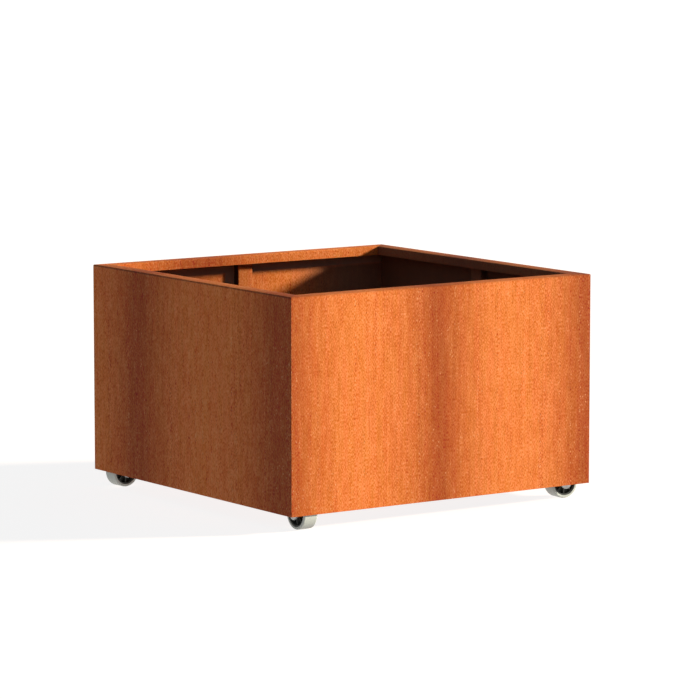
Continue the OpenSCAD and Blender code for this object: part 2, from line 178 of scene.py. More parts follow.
class Graph:
    """A node tree written as code: one method adds any node."""

    def __init__(self, tree: bpy.types.NodeTree) -> None:
        """Starts from an empty tree."""
        self.tree = tree
        tree.nodes.clear()

    def node(self, kind: str, settings: Named = None, inputs: Named = None) -> bpy.types.Node:
        """Adds a node.

        Args:
            kind: the node's type name.
            settings: its properties, set before its sockets.
            inputs: the values or links of its sockets, by name or number.

        Returns:
            The new node.
        """
        node = self.tree.nodes.new(kind)
        for name, value in (settings or {}).items():
            setattr(node, name, value)
        for key, value in (inputs or {}).items():
            self.feed(node.inputs[key], value)
        return node

    def feed(self, socket: bpy.types.NodeSocket, value: Any) -> None:
        """Gives a socket a link or a constant.

        Args:
            socket: the input socket.
            value: a Value, another node's output socket or a constant.
        """
        if isinstance(value, Value):
            value = value.socket
        if isinstance(value, bpy.types.NodeSocket):
            self.tree.links.new(value, socket)
        elif isinstance(value, tuple) and len(value) == 3 and socket.type == "RGBA":
            socket.default_value = (*value, 1.0)
        else:
            socket.default_value = value

    def read(
        self, kind: str, settings: Named = None, inputs: Named = None, output: str | int = 0
    ) -> Value:
        """Adds a node and gives its output, by name or number."""
        return Value(self, self.node(kind, settings, inputs).outputs[output])

    def math(self, operation: str, *numbers: "Value | float") -> Value:
        """Adds a Math node and gives its result."""
        return self.read("ShaderNodeMath", {"operation": operation}, dict(enumerate(numbers)))

    def highest(self, first: "Value | float", *others: "Value | float") -> Value:
        """Finds the highest of some numbers.

        Args:
            first: one of them.
            others: the rest.

        Returns:
            The highest.
        """
        for other in others:
            first = self.math("MAXIMUM", first, other)
        return first

    def vector(self, *numbers: "Value | float") -> Value:
        """Joins three numbers to a vector."""
        return self.read("ShaderNodeCombineXYZ", inputs=dict(enumerate(numbers)))

    def split(self, vector: Value) -> tuple[Value, Value, Value]:
        """Takes a vector apart into its three numbers."""
        node = self.node("ShaderNodeSeparateXYZ", inputs={0: vector})
        return tuple(Value(self, output) for output in node.outputs)

    def mix(self, share: "Value | float", first: Any, second: Any, blend: str = "MIX") -> Value:
        """Mixes two colours.

        Args:
            share: how much of the second one there is, from 0 to 1.
            first: the first colour or its output.
            second: the second colour or its output.
            blend: how they are mixed.

        Returns:
            The mixed colour.
        """
        kind = {"data_type": "RGBA", "blend_type": blend, "clamp_result": blend != "MIX"}
        return self.read("ShaderNodeMix", kind, {0: share, 6: first, 7: second}, 2)

    def scaled(self, colour: Any, factor: "Value | float") -> Value:
        """Multiplies a colour by a number."""
        kind = {"operation": "SCALE"}
        return self.read("ShaderNodeVectorMath", kind, {0: colour, "Scale": factor})


class Surface(Graph):
    """A material that ends in one Principled shader."""

    NOISE_SHIFT, CELL_SHIFT = (1.0, 1.7, 2.3), (1.0, 1.3, 2.1)

    def __init__(self, name: str, place: Place, constants: Mapping[str, Any]) -> None:
        """Makes the material.

        Args:
            name: the material's name.
            place: where its patterns take their coordinates from.
            constants: what is the same all over, by the shader's socket names.
        """
        self.material = bpy.data.materials.new(name)
        self.material.use_nodes = True
        super().__init__(self.material.node_tree)
        self.shader = self.node("ShaderNodeBsdfPrincipled", inputs=constants)
        self.node("ShaderNodeOutputMaterial", inputs={"Surface": self.shader.outputs[0]})
        if place is Place.SHEET:
            self.spot = self.read("ShaderNodeUVMap", {"uv_map": SHEET_UV})
        else:
            self.spot = self.read("ShaderNodeTexCoord", output="Object")

    def texture(self, kind: str, cell: Triple, shift: Iterable[float], **inputs: float) -> Value:
        """Reads a texture that is stretched along each coordinate.

        Args:
            kind: the texture node's type name.
            cell: the size of a cell along each coordinate, in metres.
            shift: moves the pattern along each coordinate.
            inputs: the texture's other inputs.

        Returns:
            The texture's number.
        """
        stretch = {
            "Vector": self.spot,
            "Location": tuple(shift),
            "Scale": tuple(1 / size for size in cell),
        }
        spot = self.read("ShaderNodeMapping", inputs=stretch)
        return self.read(kind, inputs={"Vector": spot, "Scale": 1.0, **inputs})

    def noise(self, cell: Triple, shift: float, detail: float = 0.0) -> Value:
        """Soft noise, about 0 to 1, with as many finer layers as detail says."""
        shifts = (shift * share for share in self.NOISE_SHIFT)
        return self.texture("ShaderNodeTexNoise", cell, shifts, Detail=detail)

    def cells(self, cell: Triple, shift: float) -> Value:
        """The distance to scattered points, in cells, 0 at each of them."""
        shifts = (shift * share for share in self.CELL_SHIFT)
        return self.texture("ShaderNodeTexVoronoi", cell, shifts)

    def finish(self, colour: Any, roughness: "Value | float", height: Value, depth: float) -> None:
        """Links the shader's varying sockets.

        Args:
            colour: the base colour.
            roughness: the roughness.
            height: the relief, from 0 to 1.
            depth: the relief's height in metres.
        """
        relief = {"Strength": 1.0, "Distance": depth, "Height": height}
        bump = self.read("ShaderNodeBump", inputs=relief)
        varying = {"Base Color": colour, "Roughness": roughness, "Normal": bump}
        for name, value in varying.items():
            self.feed(self.shader.inputs[name], value)


class Pattern(Graph):
    """A Geometry Nodes tree with named inputs. It ends in Realize Instances and Set Material."""

    def __init__(self, name: str, numbers: Mapping[str, float | int]) -> None:
        """Makes the tree and its inputs.

        Args:
            name: the tree's name.
            numbers: the named sizes and counts, with their defaults.
        """
        super().__init__(bpy.data.node_groups.new(name, "GeometryNodeTree"))
        sockets = self.tree.interface
        for flow, kind in (("INPUT", "Geometry"), ("OUTPUT", "Geometry"), ("INPUT", "Material")):
            sockets.new_socket(kind, in_out=flow, socket_type=f"NodeSocket{kind}")
        for label, value in numbers.items():
            kind = "NodeSocketInt" if isinstance(value, int) else "NodeSocketFloat"
            sockets.new_socket(label, in_out="INPUT", socket_type=kind).default_value = value
        self.given = self.node("NodeGroupInput")

    def input(self, label: str) -> Value:
        """One of the tree's named inputs."""
        return Value(self, self.given.outputs[label])

    def copies(self, points: Value, shape: Value, **inputs: Value) -> Value:
        """Sets a copy of a shape on each point, turned or scaled by the other inputs."""
        inputs = {"Points": points, "Instance": shape, **inputs}
        return self.read("GeometryNodeInstanceOnPoints", inputs=inputs)

    def finish(self, copies: Value) -> "Pattern":
        """Ends the tree: copies become real and get the material.

        Args:
            copies: the finished copies.

        Returns:
            The tree.
        """
        real = self.read("GeometryNodeRealizeInstances", inputs={0: copies})
        inputs = {"Geometry": real, "Material": self.input("Material")}
        dressed = self.read("GeometryNodeSetMaterial", inputs=inputs)
        self.node("NodeGroupOutput", inputs={0: dressed})
        return self

    def run(
        self, mesh: bpy.types.Mesh, material: bpy.types.Material, **numbers: float | int
    ) -> bpy.types.Mesh:
        """Runs the tree on a mesh.

        Args:
            mesh: the shape that the tree works on.
            material: the finish of the result.
            numbers: the inputs' values, by name, with _ for a space.

        Returns:
            A plain mesh of the result.
        """
        holder = linked(mesh.name, mesh)
        modifier = holder.modifiers.new(self.tree.name, "NODES")
        modifier.node_group = self.tree
        values = {label.replace("_", " "): number for label, number in numbers.items()}
        values["Material"] = material
        for item in self.tree.interface.items_tree:
            if item.in_out == "INPUT" and item.name in values:
                modifier[item.identifier] = values[item.name]
        made = evaluated(holder)
        holder.modifiers.remove(modifier)
        bpy.data.objects.remove(holder)
        return made


def linked(name: str, data: bpy.types.ID) -> bpy.types.Object:
    """Makes an object and puts it into the scene.

    Args:
        name: the object's name.
        data: its mesh, curve, lamp or camera.

    Returns:
        The object.
    """
    made = bpy.data.objects.new(name, data)
    bpy.context.scene.collection.objects.link(made)
    return made


def evaluated(holder: bpy.types.Object) -> bpy.types.Mesh:
    """Takes a plain mesh of an object as its modifiers or its curve settings leave it."""
    graph = bpy.context.evaluated_depsgraph_get()
    return bpy.data.meshes.new_from_object(holder.evaluated_get(graph))


def ring_pattern() -> Pattern:
    """A tree that sets copies of a shape round Z, each turned to face outwards.

    Returns:
        The tree, with the inputs Count, Radius and Height.
    """
    labels = {"Count": 8, "Radius": 0.0, "Height": 0.0}
    tree = Pattern("ring_of_copies", labels)
    count, radius, height = (tree.input(label) for label in labels)
    angle = tree.read("GeometryNodeInputIndex") * TAU / count
    across, along = (tree.math(kind, angle) * radius for kind in ("COSINE", "SINE"))
    spots = {"Count": count, "Position": tree.vector(across, along, height)}
    points = tree.read("GeometryNodePoints", inputs=spots)
    turn = tree.read("FunctionNodeEulerToRotation", inputs={0: tree.vector(0.0, 0.0, angle)})
    return tree.finish(tree.copies(points, tree.input("Geometry"), Rotation=turn))


def bolt_pattern() -> Pattern:
    """A tree that sets a fastener at the four slots of each of the four casters.

    Returns:
        The tree, with the pitches of the slots and of the casters as inputs.
    """
    labels = ("Slot Pitch X", "Slot Pitch Y", "Caster Pitch X", "Caster Pitch Y")
    tree = Pattern("bolts_of_four_casters", dict.fromkeys(labels, 0.1))
    shape = tree.input("Geometry")
    for across, along in (labels[:2], labels[2:]):
        sides = {"Size X": tree.input(across), "Size Y": tree.input(along)}
        grid = tree.read("GeometryNodeMeshGrid", inputs={**sides, "Vertices X": 2, "Vertices Y": 2})
        shape = tree.copies(grid, shape)
    return tree.finish(shape)


def weld_pattern() -> Pattern:
    """A tree that lays a rippled weld bead along every edge of a mesh.

    Returns:
        The tree, with the inputs Bead Radius, Ripple Pitch, Unevenness and Seed.
    """
    labels = {"Bead Radius": 0.002, "Ripple Pitch": 0.0015, "Unevenness": 0.12, "Seed": 7}
    tree = Pattern("weld_beads", labels)
    radius, pitch, spread, seed = (tree.input(label) for label in labels)
    line = tree.read("GeometryNodeMeshToCurve", inputs={0: tree.input("Geometry")})
    cut = {"Curve": line, "Length": pitch}
    steps = tree.read("GeometryNodeResampleCurve", {"mode": "LENGTH"}, cut)
    ball = {"Radius": radius, "Subdivisions": 2}
    ripple = tree.read("GeometryNodeMeshIcoSphere", inputs=ball)
    smooth = tree.read("GeometryNodeSetShadeSmooth", inputs={0: ripple})
    span = {2: 1 - spread, 3: 1 + spread, "Seed": seed}
    size = tree.read("FunctionNodeRandomValue", {"data_type": "FLOAT"}, span, 1)
    return tree.finish(tree.copies(steps, smooth, Scale=size))


# ---------------------------------------------------------------- shapes


def rounded(corners: Sequence[tuple[float, ...]], steps: int, closed: bool = True) -> list[Point]:
    """Rounds the corners of an outline.

    Args:
        corners: each corner as x, y and, if it is round, its radius.
        steps: the number of straight pieces in each round.
        closed: whether the outline closes on itself.

    Returns:
        The outline's points.
    """
    points: list[Point] = []
    count = len(corners)
    for index, corner in enumerate(corners):
        here = Vector(corner[:2])
        radius = corner[2] if len(corner) > 2 else 0.0
        if radius <= 0 or (not closed and index in (0, count - 1)):
            points.append(tuple(here))
            continue
        back = (Vector(corners[index - 1][:2]) - here).normalized()
        ahead = (Vector(corners[(index + 1) % count][:2]) - here).normalized()
        half = back.angle(ahead) / 2
        middle = here + (back + ahead).normalized() * (radius / math.sin(half))
        start = here + back * (radius / math.tan(half)) - middle
        end = here + ahead * (radius / math.tan(half)) - middle
        sweep = start.angle_signed(end)
        for step in range(steps + 1):
            turned = start.copy()
            turned.rotate(Matrix.Rotation(-sweep * step / steps, 2))
            points.append(tuple(middle + turned))
    return points


def arc(centre: Point, radius: float, start: float, end: float, steps: int) -> list[Point]:
    """Points on an arc.

    Args:
        centre: the arc's centre.
        radius: its radius.
        start: the first point's angle in degrees.
        end: the last point's angle in degrees.
        steps: the number of straight pieces.

    Returns:
        The points.
    """
    angles = (math.radians(start + (end - start) * step / steps) for step in range(steps + 1))
    return [(centre[0] + radius * math.cos(a), centre[1] + radius * math.sin(a)) for a in angles]


def mirrored(half: Sequence[tuple[float, ...]]) -> list[tuple[float, ...]]:
    """Closes half a section with its mirror image at the other side of height 0."""
    return [*half, *((r, -z, *ease) for r, z, *ease in reversed(half))]


def firm(profile: Sequence[Point], closed: bool, reach: float = 0.0002) -> list[Point]:
    """Adds points close to the ends of long straight runs, so that smooth shading leaves them flat.

    Args:
        profile: the section.
        closed: whether it closes on itself.
        reach: how far from the ends the points lie.

    Returns:
        The section with the added points.
    """
    points: list[Point] = []
    count = len(profile)
    for index, first in enumerate(profile):
        points.append(first)
        if index == count - 1 and not closed:
            break
        second = profile[(index + 1) % count]
        run = math.dist(first, second)
        if run > 5 * reach:
            for share in (reach / run, 1 - reach / run):
                points.append(tuple(a + (b - a) * share for a, b in zip(first, second)))
    return points


class Skin:
    """The faces of one piece while it is being made, with a UV for each face corner."""

    def __init__(self) -> None:
        """Starts with no faces."""
        self.vertices: list[Vector] = []
        self.faces: list[tuple[int, ...]] = []
        self.uvs: list[Point] = []

    def net(
        self,
        rows: Sequence[Sequence[Vector]],
        uv: Callable[[int, int], Point],
        close_rows: bool = False,
        close_columns: bool = False,
    ) -> None:
        """Adds a net of four-sided faces.

        Args:
            rows: rows of points, all of one length.
            uv: gives the UV at a row and column.
            close_rows: whether the last row joins the first.
            close_columns: whether the last column joins the first.
        """
        start, height, width = len(self.vertices), len(rows), len(rows[0])
        for row in rows:
            self.vertices.extend(row)
        for r in range(height if close_rows else height - 1):
            for c in range(width if close_columns else width - 1):
                ring = ((r, c), (r, c + 1), (r + 1, c + 1), (r + 1, c))
                self.faces.append(tuple(start + (i % height) * width + j % width for i, j in ring))
                self.uvs.extend(uv(i, j) for i, j in ring)

    def lathe(
        self,
        profile: Sequence[Point],
        steps: int,
        place: Matrix = Matrix.Identity(4),
        closed: bool = True,
    ) -> None:
        """Adds a shape turned about Z.

        Args:
            profile: radius and height of each point of the section.
            steps: the number of faces round the axis.
            place: where the shape goes.
            closed: whether the section closes on itself, or starts and ends on the axis.
        """
        profile = firm(profile, closed)
        angles = [TAU * step / steps for step in range(steps)]
        rows = [
            [place @ Vector((r * math.cos(a), r * math.sin(a), z)) for a in angles]
            for r, z in profile
        ]
        reach = max(r for r, _ in profile)
        along = [0.0]
        for first, second in zip(profile, [*profile[1:], profile[0]]):
            along.append(along[-1] + math.dist(first, second))
        self.net(rows, lambda r, c: (TAU * reach * c / steps, along[r]), closed, True)

    def plate(
        self, loops: Iterable[Sequence[Point]], low: float, high: float, ease: float
    ) -> None:
        """Adds a flat plate with eased edges, in the plane of X and Y.

        Args:
            loops: the plate's outline, then those of its holes.
            low: the height of its underside.
            high: the height of its top.
            ease: the radius of its edges.
        """
        curve = bpy.data.curves.new("plate", "CURVE")
        curve.dimensions, curve.fill_mode = "2D", "BOTH"
        curve.extrude, curve.bevel_depth = (high - low) / 2 - ease, ease
        curve.bevel_resolution, curve.offset = 1, -ease
        for loop in loops:
            spline = curve.splines.new("POLY")
            spline.points.add(len(loop) - 1)
            for point, (x, y) in zip(spline.points, loop):
                point.co = (x, y, 0, 1)
            spline.use_cyclic_u = True
        holder = linked("plate", curve)
        flat = evaluated(holder)
        start = len(self.vertices)
        lift = Matrix.Translation((0, 0, (low + high) / 2))
        self.vertices.extend(lift @ vertex.co for vertex in flat.vertices)
        for face in flat.polygons:
            self.faces.append(tuple(start + index for index in face.vertices))
            self.uvs.extend(tuple(flat.vertices[index].co.xy) for index in face.vertices)
        bpy.data.objects.remove(holder)
        bpy.data.curves.remove(curve)

    def mesh(self, name: str, sharp: float = 32.0) -> bpy.types.Mesh:
        """Makes the mesh: seams closed, faces outwards, sharp edges kept.

        Args:
            name: the mesh's name.
            sharp: the angle in degrees above which an edge stays sharp.

        Returns:
            The mesh.
        """
        mesh = bpy.data.meshes.new(name)
        mesh.from_pydata(self.vertices, [], self.faces)
        layer = mesh.uv_layers.new(name=SHEET_UV)
        layer.data.foreach_set("uv", [number for uv in self.uvs for number in uv])
        shape = bmesh.new()
        shape.from_mesh(mesh)
        bmesh.ops.remove_doubles(shape, verts=shape.verts, dist=1e-6)
        bmesh.ops.recalc_face_normals(shape, faces=shape.faces)
        shape.to_mesh(mesh)
        shape.free()
        mesh.shade_smooth()
        mesh.set_sharp_from_angle(angle=math.radians(sharp))
        return mesh


def piece(
    mesh: bpy.types.Mesh,
    material: bpy.types.Material,
    slot: Slot,
    body: str,
    stands_for: Sequence[str] = (),
    edge: float = 0.0,
) -> None:
    """Puts a finished mesh into the scene as a piece that rides on a body.

    Args:
        mesh: the mesh, in its place. The piece takes its name.
        material: its finish.
        slot: the record's slot of that finish. It is not used.
        body: the CAD body that it moves with.
        stands_for: the CAD nodes that it replaces.
        edge: the radius of its eased edges, in metres.
    """
    made = linked(mesh.name, mesh)
    mesh.materials.clear()
    mesh.materials.append(material)
    if edge:
        bevel = made.modifiers.new("eased_edges", "BEVEL")
        bevel.width, bevel.segments, bevel.angle_limit = edge, 2, math.radians(40)
        bevel.harden_normals = True
    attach(made, body)
    if stands_for:
        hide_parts(*stands_for)
    LOG.info("%s: %d faces, on %s", made.name, len(mesh.polygons), body)


def dress(node: str, material: bpy.types.Material) -> None:
    """Gives a CAD node that keeps its shape its material.

    Args:
        node: the CAD node's name.
        material: the finish.
    """
    slots = frame["nodes"][node].material_slots
    for slot in slots:
        slot.material = material
    if not slots:
        frame["nodes"][node].data.materials.append(material)
    LOG.info("%s: CAD node, dressed in %s", node, material.name)


# ---------------------------------------------------------------- finishes


@dataclass(frozen=True)
class Corten:
    """Rust patina of weathering steel: tall soft bands, run marks, fine speckle, flecks and pits.

    The shades are shares of the full brightness: painted light and shade, set for each wall and
    each part of the sheet. The painted shade's dull tint is a share of one dull colour. Positions
    are in metres along and up the sheet's outer or inner side.
    """

    name: str
    bands: tuple[Point, ...] = ()  # the bright bands' middles and how far from there they fade
    seed: float = 0.0  # moves every pattern, so that no two sheets are alike
    place: Place = Place.SHEET
    # The shades below are painted shade: parts are darkened where shade falls on them, or against
    # strong key light.
    shade: float = 1.0  # of the outer side
    rim_shade: float = 1.0
    lip_shade: float = 1.0
    # a dull tint painted on the lip, as the colour of its shade
    lip_shade_tint: float = 0.0
    inner_shade: float = 0.45
    # a dull tint painted on the inner side, as the colour of its shade
    inner_shade_tint: float = 0.0
    shadow_dulling: float = 0.0  # how dull a tint the inner side is painted towards the sheet's first end, where shade falls
    painted_shadow_tint: float = 0.0  # how strongly the cast shadows under the lip and next to the channel are painted, in a dull tint
    far_darkening: float = 0.0  # how much darker it gets towards the sheet's second end
    painted_side_shade: float = 0.0  # how dark and dull a channel's two sides are painted, as shade
    all_over_shade_tint: float = 0.0  # the dull tint of painted shade all over
    crease: float = 0.0  # how dark the painted line of shade along the upper fold and the mitres is
    grain: float = 1.0  # the speckle's strength, as a share of the front wall's
    bright: tuple[Colour, Colour] = (srgb(248, 129, 56), srgb(246, 132, 53))
    dark: tuple[Colour, Colour] = (srgb(186, 81, 15), srgb(184, 84, 15))
    fleck: Colour = srgb(250, 186, 126)
    pit: Colour = srgb(112, 44, 20)
    # The dull tint that the painted shade and shadows mix in.
    shade_tint_colour: Colour = srgb(150, 112, 84)
    grain_step: Colour = (0.0340, 0.0225, 0.0118)  # the speckle's step of colour
    grain_size: float = 0.0022
    object_lie: float = 0.0025 / 0.0055  # the patterns' length in Place.OBJECT, as a share
    fold_at: float = 0.5828  # the upper fold
    lip_at: float = 0.6310  # the fold from the rim to the lip
    crease_half: float = 0.0030  # half the dark line's width
    crease_top: Point = (0.60, 0.59)  # where the mitres' line ends, just past the upper fold
    middle: float = 0.5  # of the sheet
    warp: float = 0.032  # how far the bands' edges wander
    tone_parts: Point = (0.07, 0.12)  # what the run marks and the blotches add to the bands
    speckle_parts: Triple = (15.2, 2.4, 3.2)  # of the fine grain, the lines and the blotches
    shadow_dulling_span: Point = (-0.13, -0.38)  # from the inner side's middle
    far_span: Point = (-0.22, 0.12)
    lip_shadow_at: float = 0.530  # the painted shadow under the lip starts here
    channel_shadow: Point = (0.060, 0.054)  # where the painted shadow next to the channel fades out
    shadow_lift: float = 0.8  # how much the painted shadow raises the brightness
    side_from: float = 0.0235  # a channel's sides start this far from the middle of its section
    side_mid: float = 0.0447  # the middle of a channel's section, across it
    cloud: float = 0.10  # how much the blotches change the brightness
    roughness: float = 0.80
    relief: float = 0.00002

    def painted_fold_shade(self, rust: Surface, along: Value, up: Value) -> Value:
        """Finds the painted lines of shade along the upper fold and the mitred ends.

        Args:
            rust: the material.
            along: the distance along the sheet.
            up: the distance up the sheet.

        Returns:
            How dark it is there, from 0 to 1.
        """
        half = self.crease_half
        fold = abs(up - self.fold_at).ramp(half, half * 0.4)
        ends = abs(along - self.middle).ramp(self.middle - half, self.middle - half * 0.3)
        return rust.highest(fold, ends * up.ramp(*self.crease_top)) * self.crease

    def patina(self, rust: Surface, along: Value) -> tuple[Value, Value, Value, Value]:
        """Builds the patina's pattern, in full light.

        Args:
            rust: the material.
            along: the distance along the sheet.

        Returns:
            Its colour, and the blotches, the speckle and the relief in it.
        """
        lie = 1.0 if self.place is Place.SHEET else self.object_lie

        def noise(width: float, length: float, shift: float, detail: float = 0.0) -> Value:
            """Noise with upright blots of this width and length."""
            return rust.noise((width, length * lie, width), self.seed + shift, detail)

        wander = rust.noise((0.16, 0.5, 0.16), self.seed + 3.1)
        if self.bands:
            warped = along + (wander - 0.5) * self.warp
            glow: Value | float = 0.0
            for centre, reach in self.bands:
                glow = (((warped - centre) / reach) ** 2).ramp(1.0, 0.0, False) + glow
        else:
            glow = wander.ramp(0.3, 0.7)
        runs = noise(0.010, 0.40, 5.3, 1.0).ramp(0.38, 0.62)
        hue = noise(0.020, 0.24, 23.9, 1.0).ramp(0.36, 0.64)
        blotches = noise(0.017, 0.055, 7.9, 2.0)
        fine = noise(self.grain_size, 0.0064, 11.7, 1.0)
        lines = noise(0.0026, 0.21, 13.3)
        drips = noise(0.0045, 0.9, 29.3).ramp(0.60, 0.72)
        for blot, part in zip((runs, blotches), self.tone_parts):
            glow = glow + (blot - 0.5) * part
        shares = glow.ramp(0.08, 1.02, False)
        colour = rust.mix(shares, rust.mix(hue, *self.dark), rust.mix(hue, *self.bright))
        strength = (1 + drips * 0.6) * (0.84 + shares * 0.56) * self.grain
        parts = [(b - 0.5) * p for b, p in zip((fine, lines, blotches), self.speckle_parts)]
        speckle = (parts[0] + parts[1] + parts[2]) * strength
        colour = rust.mix(1.0, colour, rust.scaled(self.grain_step, speckle), "ADD")
        spots = rust.cells((0.008, 0.013 * lie, 0.008), self.seed + 17.1).ramp(0.24, 0.10)
        often = rust.highest(drips, blotches.ramp(0.48, 0.62) * (1 - shares * 0.5))
        colour = rust.mix(spots * often * 0.6, colour, self.fleck)
        pits = rust.cells((0.008, 0.011 * lie, 0.008), self.seed + 19.9).ramp(0.22, 0.08)
        seldom = rust.highest(drips, blotches.ramp(0.52, 0.38) * 0.6)
        colour = rust.mix(pits * seldom * 0.5, colour, self.pit)
        return colour, blotches, fine, fine + lines * 0.4 - pits * 0.5

    def sides(
        self, rust: Surface, along: Value, up: Value, colour: Value
    ) -> tuple["Value | float", Value]:
        """Tells the outer side, the rim, the lip and the inner side of a sheet apart.

        Args:
            rust: the material.
            along: the distance along the sheet.
            up: the distance up the sheet.
            colour: the patina's colour.

        Returns:
            How bright each place is painted, as light and shade, and the colour with the dull tint
            of the painted shade and shadows on it.
        """
        inside = up.ramp(2.0, 2.1)
        past = along - (INNER_SHIFT + self.middle)
        shadow_dulling = past.ramp(*self.shadow_dulling_span) * self.shadow_dulling
        rim = up.ramp(self.fold_at, self.fold_at + 0.002)
        lip = up.ramp(self.lip_at - 0.001, self.lip_at + 0.001)
        # Painted shade: the outer side, the rim, the lip and the inner side each get their own
        # brightness.
        light = self.shade + rim * (self.rim_shade - self.shade)
        light = light + lip * (self.lip_shade - self.rim_shade)
        far = past.ramp(*self.far_span) * self.far_darkening
        light = light + inside * (self.inner_shade * (1 - far) - light)
        light = light * (1 - self.painted_fold_shade(rust, along, up))
        # Painted shadow: the strips under the lip and next to the channel, where cast shadows fall,
        # get a dull tint and a little more brightness.
        lip_shadow_at = self.lip_shadow_at + INNER_LIFT
        under = up.ramp(lip_shadow_at - 0.006, lip_shadow_at + 0.006)
        channel_shadow = past.ramp(0.0, 0.01) * past.ramp(*self.channel_shadow)
        under = rust.highest(under, channel_shadow) * self.painted_shadow_tint
        light = light * (1 + inside * under * self.shadow_lift)
        dull = rust.highest(shadow_dulling, self.inner_shade_tint, under)
        dulled = inside * dull + (lip - inside) * self.lip_shade_tint
        return light, rust.mix(dulled, colour, self.shade_tint_colour)

    def material(self) -> bpy.types.Material:
        """Builds the material.

        Returns:
            The material.
        """
        rust = Surface(self.name, self.place, {"Metallic": 0.0, "Specular IOR Level": 0.15})
        along, up, _ = rust.split(rust.spot)
        colour, blotches, fine, height = self.patina(rust, along)
        light: Value | float = self.shade
        if self.place is Place.SHEET:
            light, colour = self.sides(rust, along, up, colour)
        # The dull tint of painted shade all over.
        if self.all_over_shade_tint:
            colour = rust.mix(self.all_over_shade_tint, colour, self.shade_tint_colour)
        # Painted shade on the two sides of a channel.
        if self.painted_side_shade:
            apart = abs(along - self.side_mid).ramp(self.side_from, self.side_from + 0.0025)
            light = light * (1 - apart * self.painted_side_shade)
            colour = rust.mix(apart * self.painted_side_shade, colour, self.shade_tint_colour)
        colour = rust.scaled(colour, light * (1 + (blotches - 0.5) * self.cloud))
        rust.finish(colour, self.roughness + (fine - 0.5) * 0.2, height, self.relief)
        return rust.material


@dataclass(frozen=True)
class Metal:
    """Plain or plated steel, with a faint cloudiness and fine rolled scratches."""

    name: str
    colour: Colour
    tinge: Colour  # the colour of the clouds in it
    roughness: float
    dirt: float = 0.0  # the share of grime in its pores
    grime: Colour = srgb(92, 84, 74)
    metal: float = 1.0  # how much of it shines like bare metal; the rest is a dull skin

    def material(self) -> bpy.types.Material:
        """Builds the material.

        Returns:
            The material.
        """
        steel = Surface(self.name, Place.OBJECT, {"Metallic": self.metal})
        clouds = steel.noise((0.014,) * 3, 2.2, 2.0)
        scratches = steel.noise((0.012, 0.0006, 0.0006), 4.6, 2.0)
        grains = steel.noise((0.0009,) * 3, 6.4, 1.0)
        colour = steel.mix(clouds.ramp(0.35, 0.7), self.colour, self.tinge)
        dulled = clouds.ramp(0.5, 0.75) * grains.ramp(0.45, 0.65) * self.dirt
        colour = steel.mix(dulled, colour, self.grime)
        rough = self.roughness + (clouds - 0.5) * 0.2 + (scratches - 0.5) * 0.25
        steel.finish(colour, rough, scratches * 0.6 + grains * 0.4, 0.00004)
        return steel.material


@dataclass(frozen=True)
class Moulded:
    """Moulded plastic or rubber: an eroded skin, with faint flow marks and dust."""

    name: str
    colour: Colour
    worn: Colour  # its colour where it is rubbed or dusty
    roughness: float
    gloss: float  # the shader's specular level
    wear: float  # the share of the worn colour
    skin: float = 0.00003  # the height of the eroded skin in metres

    def material(self) -> bpy.types.Material:
        """Builds the material.

        Returns:
            The material.
        """
        gloss = {"Metallic": 0.0, "Specular IOR Level": self.gloss}
        cast = Surface(self.name, Place.OBJECT, gloss)
        flow = cast.noise((0.02,) * 3, 1.3, 2.0)
        skin = cast.noise((0.0008,) * 3, 3.7, 1.0)
        scuffs = cast.noise((0.0035,) * 3, 8.5, 3.0)
        colour = cast.mix(scuffs.ramp(0.5, 0.72) * flow * self.wear, self.colour, self.worn)
        rough = self.roughness + (flow - 0.5) * 0.15 + (scuffs - 0.5) * 0.15
        cast.finish(colour, rough, skin + scuffs * 0.5, self.skin)
        return cast.material


